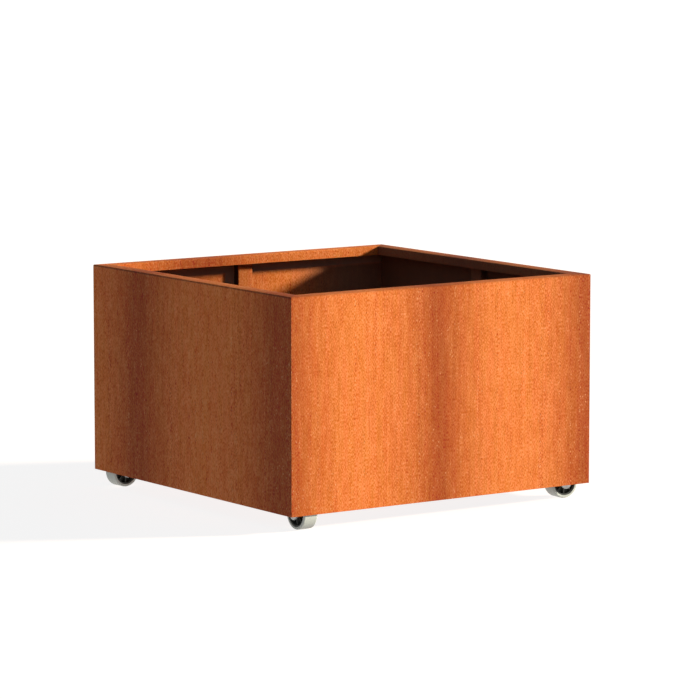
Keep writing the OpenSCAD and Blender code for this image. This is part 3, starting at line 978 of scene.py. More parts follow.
class Finishes:
    """Every finish of the planter, made once."""

    def __init__(self) -> None:
        """Builds the materials."""
        # Each wall's shades and tints are painted light and shade: its face, rim, lip and inner
        # side are darkened, or tinted dull, where shade falls on them, and the right wall's face
        # against the strong key light on it. The back wall's inside also carries painted cast
        # shadows under its lip and next to its channel.
        walls = {
            Wall.FRONT: Corten(
                "corten_front", ((0.228, 0.250), (0.738, 0.248)), 0.0, rim_shade=0.76,
                inner_shade=0.22, inner_shade_tint=0.5, crease=0.12,
            ),
            Wall.RIGHT: Corten(
                "corten_right", ((0.29, 0.27), (0.80, 0.24)), 21.0, shade=0.64, rim_shade=0.46,
                lip_shade=0.50, lip_shade_tint=0.6, inner_shade=0.45, inner_shade_tint=0.94, crease=0.3,
            ),
            Wall.BACK: Corten(
                "corten_back", ((0.24, 0.40), (1.06, 0.36)), 43.0, lip_shade=0.90,
                inner_shade=0.97, inner_shade_tint=0.02, shadow_dulling=0.75, painted_shadow_tint=1.0, far_darkening=0.32,
                crease=0.3,
            ),
            Wall.LEFT: Corten(
                "corten_left", ((0.590, 0.342), (-0.060, 0.285)), 65.0, rim_shade=0.72,
                inner_shade=0.36, inner_shade_tint=0.35, crease=0.45, grain=1.15,
            ),
        }
        self.walls = {wall: finish.material() for wall, finish in walls.items()}
        self.bearer = self.channel_rust("corten_bearer", 0.64)
        # The channels are painted in shades of their own: the front and back ones with painted
        # shade on their sides, the right one in the dull tint of its shade, the left one darker
        # against the strong key light on it.
        channel = self.channel_rust("corten_channel", 0.64, 0.86)
        self.channels = {
            Wall.FRONT: channel,
            Wall.BACK: channel,
            Wall.RIGHT: self.channel_rust("corten_shade_tinted_channel", 0.60, 0.0, 0.85),
            Wall.LEFT: self.channel_rust("corten_sunny_channel", 0.36, 0.3, 0.35),
        }
        # The floor and corner plates are painted at half brightness, as shade, so that they throw
        # little light inside the box.
        self.plate = Corten("corten_plate", seed=101.0, place=Place.OBJECT, shade=0.5).material()
        burnt = (srgb(118, 84, 62), srgb(150, 92, 60))
        self.weld = Metal("weld_metal", *burnt, 0.6, 0.5, srgb(140, 70, 38)).material()
        plating = (srgb(220, 220, 214), srgb(198, 199, 192))
        self.zinc = Metal("zinc_plating", *plating, 0.42, 0.3, metal=0.45).material()
        turned = (srgb(206, 207, 208), srgb(190, 190, 192))
        self.steel = Metal("bright_steel", *turned, 0.25).material()
        rubber = (srgb(214, 212, 190), srgb(184, 182, 168))
        self.tyre = Moulded("grey_tyre", *rubber, 0.5, 0.9, 0.4).material()
        black = (srgb(66, 66, 56), srgb(92, 88, 78))
        self.core = Moulded("black_core", *black, 0.55, 0.5, 0.5).material()
        white = (srgb(226, 225, 217), srgb(190, 186, 176))
        self.bush = Moulded("white_bush", *white, 0.4, 0.5, 0.4).material()

    @staticmethod
    def channel_rust(
        name: str, shade: float, painted_side_shade: float = 0.0, all_over_shade_tint: float = 0.0
    ) -> bpy.types.Material:
        """Builds the rust of a folded channel, equally bright all round.

        Args:
            name: the material's name.
            shade: how bright it is.
            painted_side_shade: how dark and dull its two sides are painted, as shade.
            all_over_shade_tint: the dull tint of painted shade all over it.

        Returns:
            The material.
        """
        shades = dict.fromkeys(("shade", "rim_shade", "lip_shade"), shade)
        rust = Corten(name, ((0.05, 0.3),), 87.0, all_over_shade_tint=all_over_shade_tint, painted_side_shade=painted_side_shade, **shades)
        return rust.material()


# ---------------------------------------------------------------- box


@dataclass(frozen=True)
class BoxSizes:
    """The box's sizes, in metres, read from the CAD nodes where they show there."""

    half: float
    low: float
    rim_z: float
    rim_w: float
    sheet: float
    lip: float = 0.025
    fold: float = 0.001
    channel_w: float = 0.050
    channel_d: float = 0.021
    fold_steps: int = 6
    edge: float = 0.0003
    stitch: float = 0.022
    stitch_pitch: float = 0.110
    bead: float = 0.0022
    bead_off: float = 0.0006  # from the corner that a bead fills to its middle
    ripple: float = 0.0016

    @classmethod
    def from_frame(cls) -> "BoxSizes":
        """Reads the sizes.

        Returns:
            The sizes.
        """
        low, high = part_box("front_panel")
        sheet = high.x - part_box("floor_plate")[1].x
        return cls(half=high.x, low=low.z, rim_z=high.z, rim_w=high.y - low.y, sheet=sheet)


class PlanterBox:
    """The box: four folded panels, the upright channels, the floor and what carries it."""

    BEARERS = ("front", "middle", "back")

    def __init__(self, finishes: Finishes) -> None:
        """Takes the finishes and reads the sizes."""
        self.finishes = finishes
        self.sizes = BoxSizes.from_frame()

    def folded(
        self,
        corners: Sequence[Point],
        ends: Callable[[Point], Point],
        section: Callable[[float, Point], Vector],
        left: bool = False,
    ) -> Skin:
        """Folds a sheet along straight lines, all to the same side.

        Args:
            corners: the outer side's corners in the section, before folding radii.
            ends: gives the sheet's first and last position at a point of the section.
            section: turns a position along the sheet and a point of the section into a place.
            left: whether the sheet's thickness lies to the left of the path.

        Returns:
            The faces.
        """
        thick, fold, steps = self.sizes.sheet, self.sizes.fold, self.sizes.fold_steps
        spots = [Vector(corner) for corner in corners]
        normals = []
        for first, second in zip(spots, spots[1:]):
            run = (second - first).normalized()
            normals.append(Vector((-run.y, run.x)) * (1.0 if left else -1.0))
        pairs = zip(spots, normals[:1] + normals, normals + normals[-1:])
        inside = [spot + (a + b) * (thick / (1 + a.dot(b))) for spot, a, b in pairs]
        outer = rounded([(*spot, fold + thick) for spot in spots], steps, False)
        inner = rounded([(*spot, fold) for spot in inside], steps, False)
        rise = [0.0]
        for first, second in zip(outer, outer[1:]):
            rise.append(rise[-1] + math.dist(first, second))
        skin, origin = Skin(), ends(outer[0])[0]
        for side, lift, shift in ((outer, 0.0, 0.0), (inner, INNER_LIFT, INNER_SHIFT)):
            rows = [[section(at, point) for at in ends(point)] for point in side]
            runs = [[at - origin for at in ends(point)] for point in side]
            skin.net(rows, lambda r, c: (runs[r][c] + shift, rise[r] + lift))
        for index in (0, -1):
            pair = (outer[index], inner[index])
            rows = [[section(at, point) for at in ends(point)] for point in pair]
            skin.net(rows, lambda r, c: (ends(pair[r])[c] - origin, EDGE_LIFT + r * thick))
        for end in (0, 1):
            rows = [[section(ends(point)[end], point) for point in side] for side in (outer, inner)]
            skin.net(rows, lambda r, c: (END_LIFT + r * thick, rise[c]))
        return skin

    def add(
        self, skin: Skin, name: str, node: str, material: bpy.types.Material, slot: Slot
    ) -> None:
        """Puts a folded sheet in the place of its CAD node."""
        piece(skin.mesh(name), material, slot, BOX_BODY, [node], self.sizes.edge)

    def panel(self, wall: Wall) -> None:
        """Builds one folded panel with mitred ends.

        Args:
            wall: which wall it is.
        """
        s = self.sizes
        skin = self.folded(
            ((0, s.low), (0, s.rim_z), (s.rim_w, s.rim_z), (s.rim_w, s.rim_z - s.lip)),
            lambda point: (point[0] - s.half, s.half - point[0]),
            lambda at, point: wall.turn @ Vector((at, point[0] - s.half, point[1])),
        )
        node, finish = f"{wall.label}_panel", self.finishes.walls[wall]
        self.add(skin, f"{node}_sheet", node, finish, Slot.PANELS)

    def channel(self, wall: Wall) -> None:
        """Builds the upright channel in the middle of a wall.

        Args:
            wall: which wall it stands on.
        """
        s, node = self.sizes, f"{wall.label}_stiffener"
        low, high = (corner.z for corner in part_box(node))
        face, half = s.sheet + s.channel_d, s.channel_w / 2
        skin = self.folded(
            ((-half, s.sheet), (-half, face), (half, face), (half, s.sheet)),
            lambda point: (low, high),
            lambda at, point: wall.turn @ Vector((point[0], point[1] - s.half, at)),
        )
        skin.uvs = [(v, u) for u, v in skin.uvs]
        self.add(skin, f"{wall.label}_channel", node, self.finishes.channels[wall], Slot.INSIDE)

    def bearer(self, label: str) -> None:
        """Builds a channel under the floor.

        Args:
            label: which one it is.
        """
        node = f"floor_bearer_{label}"
        low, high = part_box(node)
        skin = self.folded(
            ((low.y, high.z), (low.y, low.z), (high.y, low.z), (high.y, high.z)),
            lambda point: (low.x, high.x),
            lambda at, point: Vector((at, point[0], point[1])),
            left=True,
        )
        self.add(skin, f"floor_channel_{label}", node, self.finishes.bearer, Slot.INSIDE)

    def stitches(self, start: float, end: float, pitch: float) -> Iterator[float]:
        """Spaces stitches along a seam.

        Args:
            start: where the first stitch starts.
            end: where the last one has to end.
            pitch: the distance from one stitch's start to the next.

        Yields:
            Both ends of each stitch, one after the other.
        """
        while start + self.sizes.stitch < end:
            yield from (start, start + self.sizes.stitch)
            start += pitch

    def welds(self) -> None:
        """Lays the stitch welds that hold the channels, the bearers and the corner plates."""
        s = self.sizes
        ends: list[Vector] = []
        for wall in Wall:
            low, high = (corner.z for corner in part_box(f"{wall.label}_stiffener"))
            for side in (-1, 1):
                x, y = side * (s.channel_w / 2 + s.bead_off), s.sheet + s.bead_off - s.half
                seam = self.stitches(low + 0.03, high, s.stitch_pitch)
                ends += [wall.turn @ Vector((x, y, z)) for z in seam]
        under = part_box("floor_plate")[0].z - s.bead_off
        for label in self.BEARERS:
            low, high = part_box(f"floor_bearer_{label}")
            for y in (low.y - s.bead_off, high.y + s.bead_off):
                seam = self.stitches(low.x + 0.04, high.x, 2 * s.stitch_pitch)
                ends += [Vector((x, y, under)) for x in seam]
        for corner in Corner:
            low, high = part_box(f"corner_plate_{corner.value}")
            at_x, at_y = (
                (high[k] if low[k] < 0 else low[k]) + math.copysign(s.bead_off, -low[k])
                for k in (0, 1)
            )
            for share, part in ((0.12, 4), (0.5, 2), (0.88, 4)):
                x, y = (low[k] + (high[k] - low[k]) * share for k in (0, 1))
                halves = (-s.stitch / part, s.stitch / part)
                ends += [Vector((x + half, at_y, under)) for half in halves]
                ends += [Vector((at_x, y + half, under)) for half in halves]
        lines = bpy.data.meshes.new("weld_beads")
        lines.from_pydata(ends, [(index, index + 1) for index in range(0, len(ends), 2)], [])
        weld = self.finishes.weld
        beads = weld_pattern().run(lines, weld, Bead_Radius=s.bead, Ripple_Pitch=s.ripple, Seed=11)
        beads.name = "weld_beads"
        piece(beads, weld, Slot.INSIDE, BOX_BODY)

    def build(self) -> None:
        """Builds the whole box. The floor and the corner plates keep their CAD shape."""
        for wall in Wall:
            self.panel(wall)
            self.channel(wall)
        for label in self.BEARERS:
            self.bearer(label)
        self.welds()
        for name in ("floor_plate", *(f"corner_plate_{corner.value}" for corner in Corner)):
            dress(name, self.finishes.plate)


# ---------------------------------------------------------------- casters


@dataclass(frozen=True)
class CasterSizes:
    """A caster's sizes, in metres, read from the CAD nodes where they show there."""

    trail: float
    axle_z: float
    inset: float
    leg_out: float
    leg_in: float
    leg_end: float
    crown: float
    race_top: float
    plate_low: float
    plate_high: float
    plate_x: float
    plate_y: float
    wheel: float
    tyre_half: float
    skirt_low: float
    hub_half: float
    flange_half: float
    head_h: float
    bolt_end: float
    nut_end: float
    pin_low: float
    crown_z: float = 0.094
    crown_top: float = 0.097
    plate_corner: float = 0.008
    slot_x: float = 0.080
    slot_y: float = 0.060
    slot_w: float = 0.009
    slot_l: float = 0.014
    race: float = 0.021
    land: float = 0.006
    ball: float = 0.0035
    groove: float = 0.00365
    skirt: float = 0.0015
    skirt_gap: float = 0.0003
    skirt_foot: float = 0.0012
    pin: float = 0.006
    pin_head: float = 0.011
    pin_dome: float = 0.0230
    hex_af: float = 0.013
    nut_h: float = 0.008
    bolt: float = 0.004
    thread: float = 0.00125
    washer: float = 0.008
    tyre_bore: float = 0.03555
    mould_line: float = 0.0003
    shoulder: float = 0.003
    core_rim: float = 0.0355
    core_in: float = 0.032
    core_half: float = 0.019
    web_half: float = 0.005
    rib_half: float = 0.017
    rib_t: float = 0.0025
    rib_drop: float = 0.0012
    rib_count: int = 8
    hub: float = 0.013
    bush_bore: float = 0.00655
    bush: float = 0.009
    bush_flange: float = 0.0115
    bend: float = 0.0045
    play: float = 0.00005
    sunk: float = 0.0005  # how deep the upper race starts inside the plate
    chamfer: float = 0.0008  # of the pins' and the screws' ends
    thread_depth: float = 0.0006
    tread_drop: float = 0.00012  # from the mould line to the tread
    ball_gap: float = 0.0004
    nut_hex: float = 0.68  # the hexagon's share of the nut's height
    collar: float = 0.9  # the collar's share of the hexagon's width

    @classmethod
    def from_frame(cls) -> "CasterSizes":
        """Reads the sizes off the front left caster, which stands square to the box.

        Returns:
            The sizes.
        """
        joints = {joint["name"]: joint["pos_m"] for joint in frame["joints"]}
        pivot, axle = joints["front_left_swivel"], joints["front_left_roll"]
        names = ("fork", "caster_plate", "tyre", "axle_bolt", "kingpin")
        fork, plate, tyre, bolt, pin = (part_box(f"{name}_front_left") for name in names)
        names = ("axle_sleeve", "wheel_core", "wheel_bush", "axle_nut")
        sleeve, core, bush, nut = (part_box(f"{name}_front_left")[1].x - pivot[0] for name in names)
        leg_out = (fork[1].x - fork[0].x) / 2
        return cls(
            trail=pivot[1] - axle[1],
            axle_z=axle[2],
            inset=-pivot[0],
            leg_out=leg_out,
            leg_in=sleeve,
            leg_end=axle[2] - fork[0].z,
            crown=fork[1].y - pivot[1],
            race_top=fork[1].z,
            plate_low=plate[1].z - 0.003,
            plate_high=plate[1].z,
            plate_x=(plate[1].x - plate[0].x) / 2,
            plate_y=(plate[1].y - plate[0].y) / 2,
            wheel=(tyre[1].z - tyre[0].z) / 2,
            tyre_half=(tyre[1].x - tyre[0].x) / 2,
            skirt_low=plate[0].z,
            hub_half=core,
            flange_half=bush,
            head_h=pivot[0] - leg_out - bolt[0].x,
            bolt_end=bolt[1].x - pivot[0],
            nut_end=nut,
            pin_low=pin[0].z,
        )

    @property
    def race_z(self) -> float:
        """The height of the balls' middles."""
        return (self.crown_top + self.plate_low) / 2


def hexagon(af: float, low: float, high: float, skin: Skin, place: Matrix) -> None:
    """Adds a hexagon with chamfered corners at its upper end, about Z.

    Args:
        af: its size across the flats.
        low: the height of its seat.
        high: the height of its top.
        skin: the piece that it is added to.
        place: where it goes.
    """
    steps, slope, bare_share = 72, 0.5, 0.94  # the chamfer's slope, and how wide it leaves the top
    flat, bare = af / 2, af / 2 * bare_share
    rows: list[list[Vector]] = [[], [], [], [], []]
    for step in range(steps):
        angle = TAU * step / steps
        reach = flat / math.cos((angle + math.pi / 6) % (math.pi / 3) - math.pi / 6)
        drop = (reach - bare) * slope
        section = ((0.0, low), (reach, low), (reach, high - drop), (bare, high), (0.0, high))
        for row, (radius, z) in zip(rows, section):
            row.append(place @ Vector((radius * math.cos(angle), radius * math.sin(angle), z)))
    skin.net(rows, lambda r, c: (c * 0.0005, r * 0.002), False, True)


class Casters:
    """The four swivel casters: mounting, fork, axle and wheel of each.

    Each shape is built about its swivel axis, trailing towards -Y, and copied to its corner.
    """

    STEPS, TREAD_STEPS, PIN_STEPS = 96, 128, 48
    UPSIDE_DOWN = Matrix.Rotation(math.pi, 4, "X")

    def __init__(self, finishes: Finishes) -> None:
        """Takes the finishes and reads the sizes and places.

        Args:
            finishes: the planter's finishes.
        """
        self.finishes = finishes
        self.sizes = CasterSizes.from_frame()
        self.joints = {joint["name"]: joint for joint in frame["joints"]}
        along_x = Matrix.Rotation(math.pi / 2, 4, "Y")
        self.axle = Matrix.Translation((0, -self.sizes.trail, self.sizes.axle_z)) @ along_x

    def upright(self, corner: Corner) -> Matrix:
        """The place of what stands square to the box at a corner."""
        x, y, _ = self.joints[f"{corner.value}_swivel"]["pos_m"]
        return Matrix.Translation((x, y, 0))

    def turned(self, corner: Corner) -> Matrix:
        """The place of what turns with the fork at a corner."""
        x, y, _ = self.joints[f"{corner.value}_roll"]["axis"]
        return self.upright(corner) @ Matrix.Rotation(math.atan2(y, x), 4, "Z")

    def mounting_plate(self) -> bpy.types.Mesh:
        """Builds a mounting plate with the race's upper half and the dust skirt.

        Returns:
            The mesh.
        """
        s, skin = self.sizes, Skin()
        r, x, y = s.plate_corner, s.plate_x, s.plate_y
        loops = [rounded([(-x, -y, r), (x, -y, r), (x, y, r), (-x, y, r)], 8)]
        reach = (s.slot_l - s.slot_w) / 2
        for cx in (-s.slot_x / 2, s.slot_x / 2):
            for cy in (-s.slot_y / 2, s.slot_y / 2):
                right = arc((cx + reach, cy), s.slot_w / 2, -90, 90, 10)
                loops.append(right + arc((cx - reach, cy), s.slot_w / 2, 90, 270, 10))
        skin.plate(loops, s.plate_low, s.plate_high, 0.0004)
        inner, outer, foot = s.race + s.land + s.skirt_gap, s.skirt, s.skirt_foot
        outer += inner
        ring_low = s.race_z + (s.race_z - s.race_top)
        lift = math.degrees(math.asin((ring_low - s.race_z) / s.groove))
        sunk = s.plate_low + s.sunk
        lower = [(inner, ring_low), (inner, s.skirt_low, 0.0004), (outer, s.skirt_low, 0.0004)]
        lower.append((outer, s.plate_low - foot))
        section = [
            (s.race - s.land, sunk),
            (s.race - s.land, ring_low),
            *arc((s.race, s.race_z), s.groove, 180 - lift, lift, 12),
            (s.race + s.land - 0.0002, ring_low),
            lower[0],
            *rounded(lower, 3, False)[1:],
            *arc((outer + foot, s.plate_low - foot), foot, 180, 90, 4)[1:],
            (outer + foot, sunk),
        ]
        skin.lathe(section, self.STEPS)
        return skin.mesh("mounting_plate")

    def kingpin(self) -> bpy.types.Mesh:
        """Builds a kingpin with its domed rivet head.

        Returns:
            The mesh.
        """
        s, skin = self.sizes, Skin()
        low, top = s.pin_low, s.crown_z - 0.0003
        profile = [
            (0.0, low),
            *arc((0.0, low + s.pin_dome), s.pin_dome, -90, -68, 8)[1:],
            (s.pin_head, low + 0.0024),
            (s.pin_head, top - 0.0003),
            (s.pin_head - 0.0003, top),
            (s.pin, top),
            (s.pin, s.plate_high - s.chamfer),
            (s.pin - s.chamfer, s.plate_high),
            (0.0, s.plate_high),
        ]
        skin.lathe(profile, self.PIN_STEPS, closed=False)
        return skin.mesh("kingpin")

    def leg_edges(self, z: float) -> Point:
        """A fork leg's two edges at a height.

        Args:
            z: the height.

        Returns:
            How far along the trail the leg starts and ends there.
        """
        s, edges = self.sizes, []
        up = z - s.axle_z
        for side in (-1, 1):
            top = Vector((side * s.crown, s.crown_top - s.axle_z))
            reach = top - Vector((s.trail, 0))
            spread = math.acos(s.leg_end / reach.length)
            angle = math.atan2(reach.y, reach.x) - side * spread
            touch = Vector((s.trail + s.leg_end * math.cos(angle), s.leg_end * math.sin(angle)))
            if up >= touch.y:
                share = (up - touch.y) / (top.y - touch.y)
                edges.append(touch.x + (top.x - touch.x) * share)
            else:
                edges.append(s.trail + side * math.sqrt(max(s.leg_end**2 - up * up, 0.0)))
        return tuple(edges)

    def fork(self) -> bpy.types.Mesh:
        """Builds a pressed fork with the race's lower half.

        Returns:
            The mesh.
        """
        s, skin = self.sizes, Skin()
        thick, columns = s.leg_out - s.leg_in, 10
        low, leg = s.axle_z - s.leg_end, s.crown_top - s.bend
        heights = [s.axle_z - s.leg_end * math.cos(math.radians(a)) for a in range(0, 90, 6)]
        heights += [s.axle_z + (leg - s.axle_z) * step / 14 for step in range(15)]
        half = [((s.leg_out, z), (1.0, 0.0)) for z in heights if z >= low]
        for x, z in arc((s.leg_out - s.bend, leg), s.bend, 0, 90, 6)[1:]:
            half.append(((x, z), ((x - s.leg_out + s.bend) / s.bend, (z - leg) / s.bend)))
        half.append(((0.0, s.crown_top), (0.0, 1.0)))
        path = half + [((-x, z), (-nx, nz)) for (x, z), (nx, nz) in reversed(half[:-1])]
        sides = []
        for depth in (0.0, thick):
            rows = []
            for (x, z), (nx, nz) in path:
                first, last = self.leg_edges(z)
                shares = [first + (last - first) * c / columns for c in range(columns + 1)]
                rows.append([Vector((x - nx * depth, -y, z - nz * depth)) for y in shares])
            skin.net(rows, lambda r, c: (c * 0.006, r * 0.003))
            sides.append(rows)
        for column in (0, columns):
            edge = [[row[column] for row in rows] for rows in sides]
            skin.net(edge, lambda r, c: (r * thick, c * 0.003))
        dip = math.degrees(math.asin((s.race_z - s.race_top) / s.groove))
        sunk, foot, rim = s.crown_top - 0.0006, 0.0010, s.race + s.land
        outside = [
            (rim + foot, sunk),
            (rim, s.crown_top + foot, 0.0006),
            (rim, s.race_top, 0.0004),
            (s.race + s.groove, s.race_top),
        ]
        section = [
            (s.race - s.land, sunk),
            *rounded(outside, 3, False),
            *arc((s.race, s.race_z), s.groove, -dip, dip - 180, 12)[1:],
            (s.race - s.land, s.race_top),
        ]
        skin.lathe(section, self.STEPS)
        return skin.mesh("fork")

    def balls(self) -> bpy.types.Mesh:
        """Builds the ring of balls in the race.

        Returns:
            The mesh.
        """
        s, ball = self.sizes, Skin()
        ball.lathe(arc((0.0, 0.0), s.ball, -90, 90, 12), 20, closed=False)
        room = 2 * math.asin((2 * s.ball + s.ball_gap) / (2 * s.race))
        ring = {"Count": int(TAU / room), "Radius": s.race, "Height": s.race_z}
        return ring_pattern().run(ball.mesh("ball"), self.finishes.steel, **ring)

    def axle_bolt(self) -> bpy.types.Mesh:
        """Builds the axle's bolt: its head at -X, its thread's end at +X.

        Returns:
            The mesh.
        """
        s, skin = self.sizes, Skin()
        hexagon(s.hex_af, s.leg_out, s.leg_out + s.head_h, skin, self.axle @ self.UPSIDE_DOWN)
        profile = [(0.0, -s.leg_out), (s.bolt, -s.leg_out), (s.bolt, s.leg_out)]
        z = s.leg_out
        while z + s.thread < s.bolt_end - s.chamfer:
            profile += [(s.bolt - s.thread_depth, z + s.thread / 2), (s.bolt, z + s.thread)]
            z += s.thread
        profile += [(s.bolt - 0.0007, s.bolt_end), (0.0, s.bolt_end)]
        skin.lathe(profile, self.PIN_STEPS, self.axle, closed=False)
        return skin.mesh("axle_bolt")

    def axle_nut(self) -> bpy.types.Mesh:
        """Builds the locking nut: a hexagon with a round collar.

        Returns:
            The mesh.
        """
        s, skin = self.sizes, Skin()
        shoulder = s.leg_out + s.nut_h * s.nut_hex
        hexagon(s.hex_af, s.leg_out, shoulder, skin, self.axle)
        bore, collar = s.bolt + s.play, s.hex_af / 2 * s.collar
        lead, seat = bore + 0.0010, shoulder - 0.0005
        section = [(bore, seat), (collar, seat), (collar, s.nut_end, 0.0009)]
        section += [(lead, s.nut_end, 0.0003), (lead, s.nut_end - 0.0008)]
        section.append((bore, s.nut_end - 0.0009))
        skin.lathe(rounded(section, 4), self.PIN_STEPS, self.axle)
        return skin.mesh("axle_nut")

    def tyre(self) -> bpy.types.Mesh:
        """Builds the tyre with its rounded shoulders and faint mould line.

        Returns:
            The mesh.
        """
        s, skin = self.sizes, Skin()
        tread, line = s.wheel - s.tread_drop, s.mould_line
        half, bore = s.tyre_half, s.tyre_bore
        side = [
            (bore, -half, 0.0006),
            (bore + 0.0030, -half, 0.0004),
            (bore + 0.0034, -half + 0.0003, 0.0004),
            (bore + 0.0038, -half, 0.0004),
            (tread, -half, s.shoulder),
            (tread, -line),
            (s.wheel, -line / 3),
        ]
        skin.lathe(rounded(mirrored(side), 6), self.TREAD_STEPS, self.axle)
        return skin.mesh("tyre")

    def rib(self) -> bpy.types.Mesh:
        """Builds one rib of the wheel's core, lying along X.

        Returns:
            The mesh, about the wheel's axis.
        """
        s, rib = self.sizes, Skin()
        low, high = s.hub - 0.0008, s.core_in + 0.0008
        foot, top, reach = s.rib_t / 2 + 0.0002, s.rib_t / 2 - 0.0003, s.rib_half
        upper = [(-top, reach, 0.0005), (top, reach, 0.0005), (foot, 0.0)]
        section = rounded(upper + [(-y, -z, *ease) for y, z, *ease in upper], 3)
        stations = [(low, 0.0), (low + 0.004, 0.0), (high - 0.004, s.rib_drop), (high, s.rib_drop)]
        rows = [
            [Vector((x, y, math.copysign(max(abs(z) - sink, 0.0), z))) for y, z in section]
            for x, sink in stations
        ]
        rib.net(rows, lambda r, c: (r * 0.004, c * 0.002), False, True)
        for row in (rows[0], rows[-1]):
            centre = [sum(row, Vector()) / len(row)] * len(row)
            rib.net([row, centre], lambda r, c: (c * 0.002, r * 0.002), False, True)
        return rib.mesh("rib")

    def core(self) -> bpy.types.Mesh:
        """Builds the wheel's core: hub, web and rim in one, with a ring of ribs.

        Returns:
            The mesh.
        """
        s, skin = self.sizes, Skin()
        side = [
            (s.bush + s.play, s.hub_half, 0.0003),
            (s.hub, s.hub_half, 0.0008),
            (s.hub + 0.0005, s.web_half, 0.0020),
            (s.core_in - 0.0005, s.web_half, 0.0020),
            (s.core_in, s.core_half, 0.0006),
            (s.core_rim, s.core_half, 0.0004),
        ]
        skin.lathe(rounded(mirrored(side), 5), self.STEPS)
        hub = skin.mesh("hub")
        ring = {"Count": s.rib_count, "Radius": 0.0, "Height": 0.0}
        ribs = ring_pattern().run(self.rib(), self.finishes.core, **ring)
        shape = bmesh.new()
        shape.from_mesh(hub)
        shape.from_mesh(ribs)
        shape.to_mesh(hub)
        shape.free()
        hub.transform(self.axle)
        return hub

    def bush(self) -> bpy.types.Mesh:
        """Builds the hub's flanged bush.

        Returns:
            The mesh.
        """
        s, skin = self.sizes, Skin()
        side = [
            (s.bush_bore, s.flange_half, 0.0003),
            (s.bush_flange, s.flange_half, 0.0005),
            (s.bush_flange, s.hub_half, 0.0002),
            (s.bush, s.hub_half),
        ]
        skin.lathe(rounded(mirrored(side), 3), 64, self.axle)
        return skin.mesh("bush")

    def fasteners(self) -> None:
        """Builds the sixteen mounting screws and their washers."""
        s, screw, washer = self.sizes, Skin(), Skin()
        pitches = {
            "Slot_Pitch_X": s.slot_x,
            "Slot_Pitch_Y": s.slot_y,
            "Caster_Pitch_X": 2 * s.inset,
            "Caster_Pitch_Y": 2 * s.inset,
        }
        low, high = (corner.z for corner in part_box("mounting_screws"))
        seat, top = (corner.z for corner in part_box("mounting_washers"))
        hexagon(s.hex_af, -seat, -low, screw, self.UPSIDE_DOWN)
        tip = [(0.0, seat), (s.bolt, seat), (s.bolt, high - s.chamfer)]
        screw.lathe([*tip, (s.bolt - s.chamfer, high), (0.0, high)], 32, closed=False)
        bore, ease = s.bolt + 0.0002, 0.0003
        section = [(bore, seat, ease), (s.washer, seat, ease), (s.washer, top), (bore, top)]
        washer.lathe(rounded(section, 2), 40)
        for name, skin in (("mounting_screws", screw), ("mounting_washers", washer)):
            made = bolt_pattern().run(skin.mesh(name), self.finishes.zinc, **pitches)
            made.name = f"{name}_set"
            piece(made, self.finishes.zinc, Slot.ZINC, BOX_BODY, [name])

    def build(self) -> None:
        """Builds the four casters. The axle sleeves keep their CAD shape."""
        looks = self.finishes
        zinc, steel = (looks.zinc, Slot.ZINC), (looks.steel, Slot.STEEL)
        shapes = [
            ("caster_plate", self.mounting_plate(), *zinc, BOX_BODY),
            ("kingpin", self.kingpin(), *steel, BOX_BODY),
            ("swivel_balls", self.balls(), *steel, "swivel"),
            ("fork", self.fork(), *zinc, "swivel"),
            ("axle_bolt", self.axle_bolt(), *zinc, "swivel"),
            ("axle_nut", self.axle_nut(), *zinc, "swivel"),
            ("wheel_bush", self.bush(), looks.bush, Slot.BUSH, "wheel"),
            ("wheel_core", self.core(), looks.core, Slot.CORE, "wheel"),
            ("tyre", self.tyre(), looks.tyre, Slot.TYRE, "wheel"),
        ]
        edges = {"fork": 0.0004}
        for corner in Corner:
            for label, mesh, material, slot, body in shapes:
                node, fixed = f"{label}_{corner.value}", body == BOX_BODY
                copy = mesh.copy()
                copy.name = f"{node}_detail"
                copy.transform(self.upright(corner) if fixed else self.turned(corner))
                body = body if fixed else f"{body}_{corner.value}"
                piece(copy, material, slot, body, [node], edges.get(label, 0.0))
            dress(f"axle_sleeve_{corner.value}", looks.steel)
        self.fasteners()


# ---------------------------------------------------------------- studio


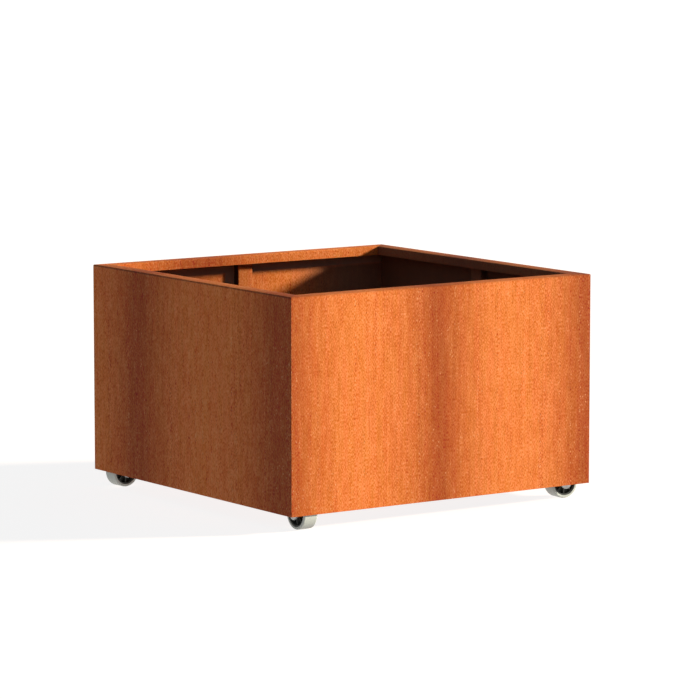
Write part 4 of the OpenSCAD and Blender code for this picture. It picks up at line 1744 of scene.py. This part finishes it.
@dataclass(frozen=True)
class Studio:
    """A white studio: a soft key light, light all round and a pale floor that keeps the shadow."""

    key_from: Triple = (2.11, -1.0, 0.76)
    key_strength: float = 5.77
    key_angle: float = 7.0  # the key light's width in degrees, which softens its shadows
    key_colour: Colour = (1.0, 0.99, 0.94)
    sky: float = 0.14  # the light from above the horizon
    bounce: float = 0.43  # the light thrown up by the floor
    sky_colour: Colour = (0.60, 1.0, 1.5)
    bounce_colour: Colour = (1.0, 1.0, 1.12)
    horizon: float = 0.05
    floor_half: float = 60.0
    floor_glow: float = 0.86  # how bright the floor is in full shadow
    floor_tone: Colour = (0.42, 0.30, 0.22)  # what the floor adds in the light
    eye: Triple = (-6.2249, -8.9839, 1.8044)
    yaw: float = 55.13
    pitch: float = -7.31
    lens: float = 202.33
    film: float = 36.0
    clip_end: float = 300.0

    def floor(self) -> None:
        """Lays the floor, which shows white to the camera but lights nothing."""
        half = self.floor_half
        mesh = bpy.data.meshes.new("studio_floor")
        ring = [(-half, -half, 0), (half, -half, 0), (half, half, 0), (-half, half, 0)]
        mesh.from_pydata(ring, [], [(0, 1, 2, 3)])
        floor = linked("studio_floor", mesh)
        material = bpy.data.materials.new("studio_floor")
        material.use_nodes = True
        pale = Graph(material.node_tree)
        shade = pale.read("ShaderNodeBsdfDiffuse", inputs={"Color": self.floor_tone})
        glow = {"Color": WHITE, "Strength": self.floor_glow}
        lit = {0: shade, 1: pale.read("ShaderNodeEmission", inputs=glow)}
        back = pale.read("ShaderNodeNewGeometry", output="Backfacing")
        lit = pale.read("ShaderNodeAddShader", inputs=lit)
        clear = pale.read("ShaderNodeBsdfTransparent")
        both = pale.read("ShaderNodeMixShader", inputs={0: back, 1: lit, 2: clear})
        pale.node("ShaderNodeOutputMaterial", inputs={"Surface": both})
        mesh.materials.append(material)
        floor.visible_diffuse = False

    def world(self) -> None:
        """Lights the planter from all round, and shows white to the camera and in reflections."""
        world = bpy.data.worlds.new("studio_light")
        bpy.context.scene.world = world
        world.use_nodes = True
        light = Graph(world.node_tree)
        rays = light.node("ShaderNodeLightPath").outputs
        kinds = ("Is Camera Ray", "Is Glossy Ray", "Is Transmission Ray")
        seen = light.highest(*(rays[kind] for kind in kinds))
        aim = light.read("ShaderNodeTexCoord", output="Generated")
        above = light.split(aim)[2].ramp(-self.horizon, self.horizon)
        fill = self.bounce + above * (self.sky - self.bounce)
        tint = light.mix(seen, light.mix(above, self.bounce_colour, self.sky_colour), WHITE)
        glow = {"Color": tint, "Strength": seen + (1 - seen) * fill}
        background = light.read("ShaderNodeBackground", inputs=glow)
        light.node("ShaderNodeOutputWorld", inputs={"Surface": background})

    def key(self) -> None:
        """Hangs the key light."""
        sun = bpy.data.lights.new("key_light", "SUN")
        sun.energy, sun.angle = self.key_strength, math.radians(self.key_angle)
        sun.color = self.key_colour
        aim = Vector(self.key_from).to_track_quat("Z", "Y")
        linked("key_light", sun).rotation_euler = aim.to_euler()

    def camera(self) -> None:
        """Sets the camera up where the photograph was taken from."""
        lens = bpy.data.cameras.new("camera")
        lens.lens, lens.sensor_width, lens.clip_end = self.lens, self.film, self.clip_end
        camera = linked("camera", lens)
        camera.location = self.eye
        tilt, turn = math.radians(90 + self.pitch), math.radians(self.yaw - 90)
        camera.rotation_euler = (tilt, 0.0, turn)
        bpy.context.scene.camera = camera

    def build(self) -> None:
        """Builds the studio."""
        bpy.context.scene.view_settings.view_transform = "Standard"
        for step in (self.camera, self.floor, self.world, self.key):
            step()


def main() -> None:
    """Builds the studio, the box and the casters."""
    logging.basicConfig(level=logging.INFO, format="%(name)s %(message)s")
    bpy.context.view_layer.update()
    Studio().build()
    finishes = Finishes()
    PlanterBox(finishes).build()
    Casters(finishes).build()
    bpy.context.view_layer.update()


if __name__ == "__main__":
    main()
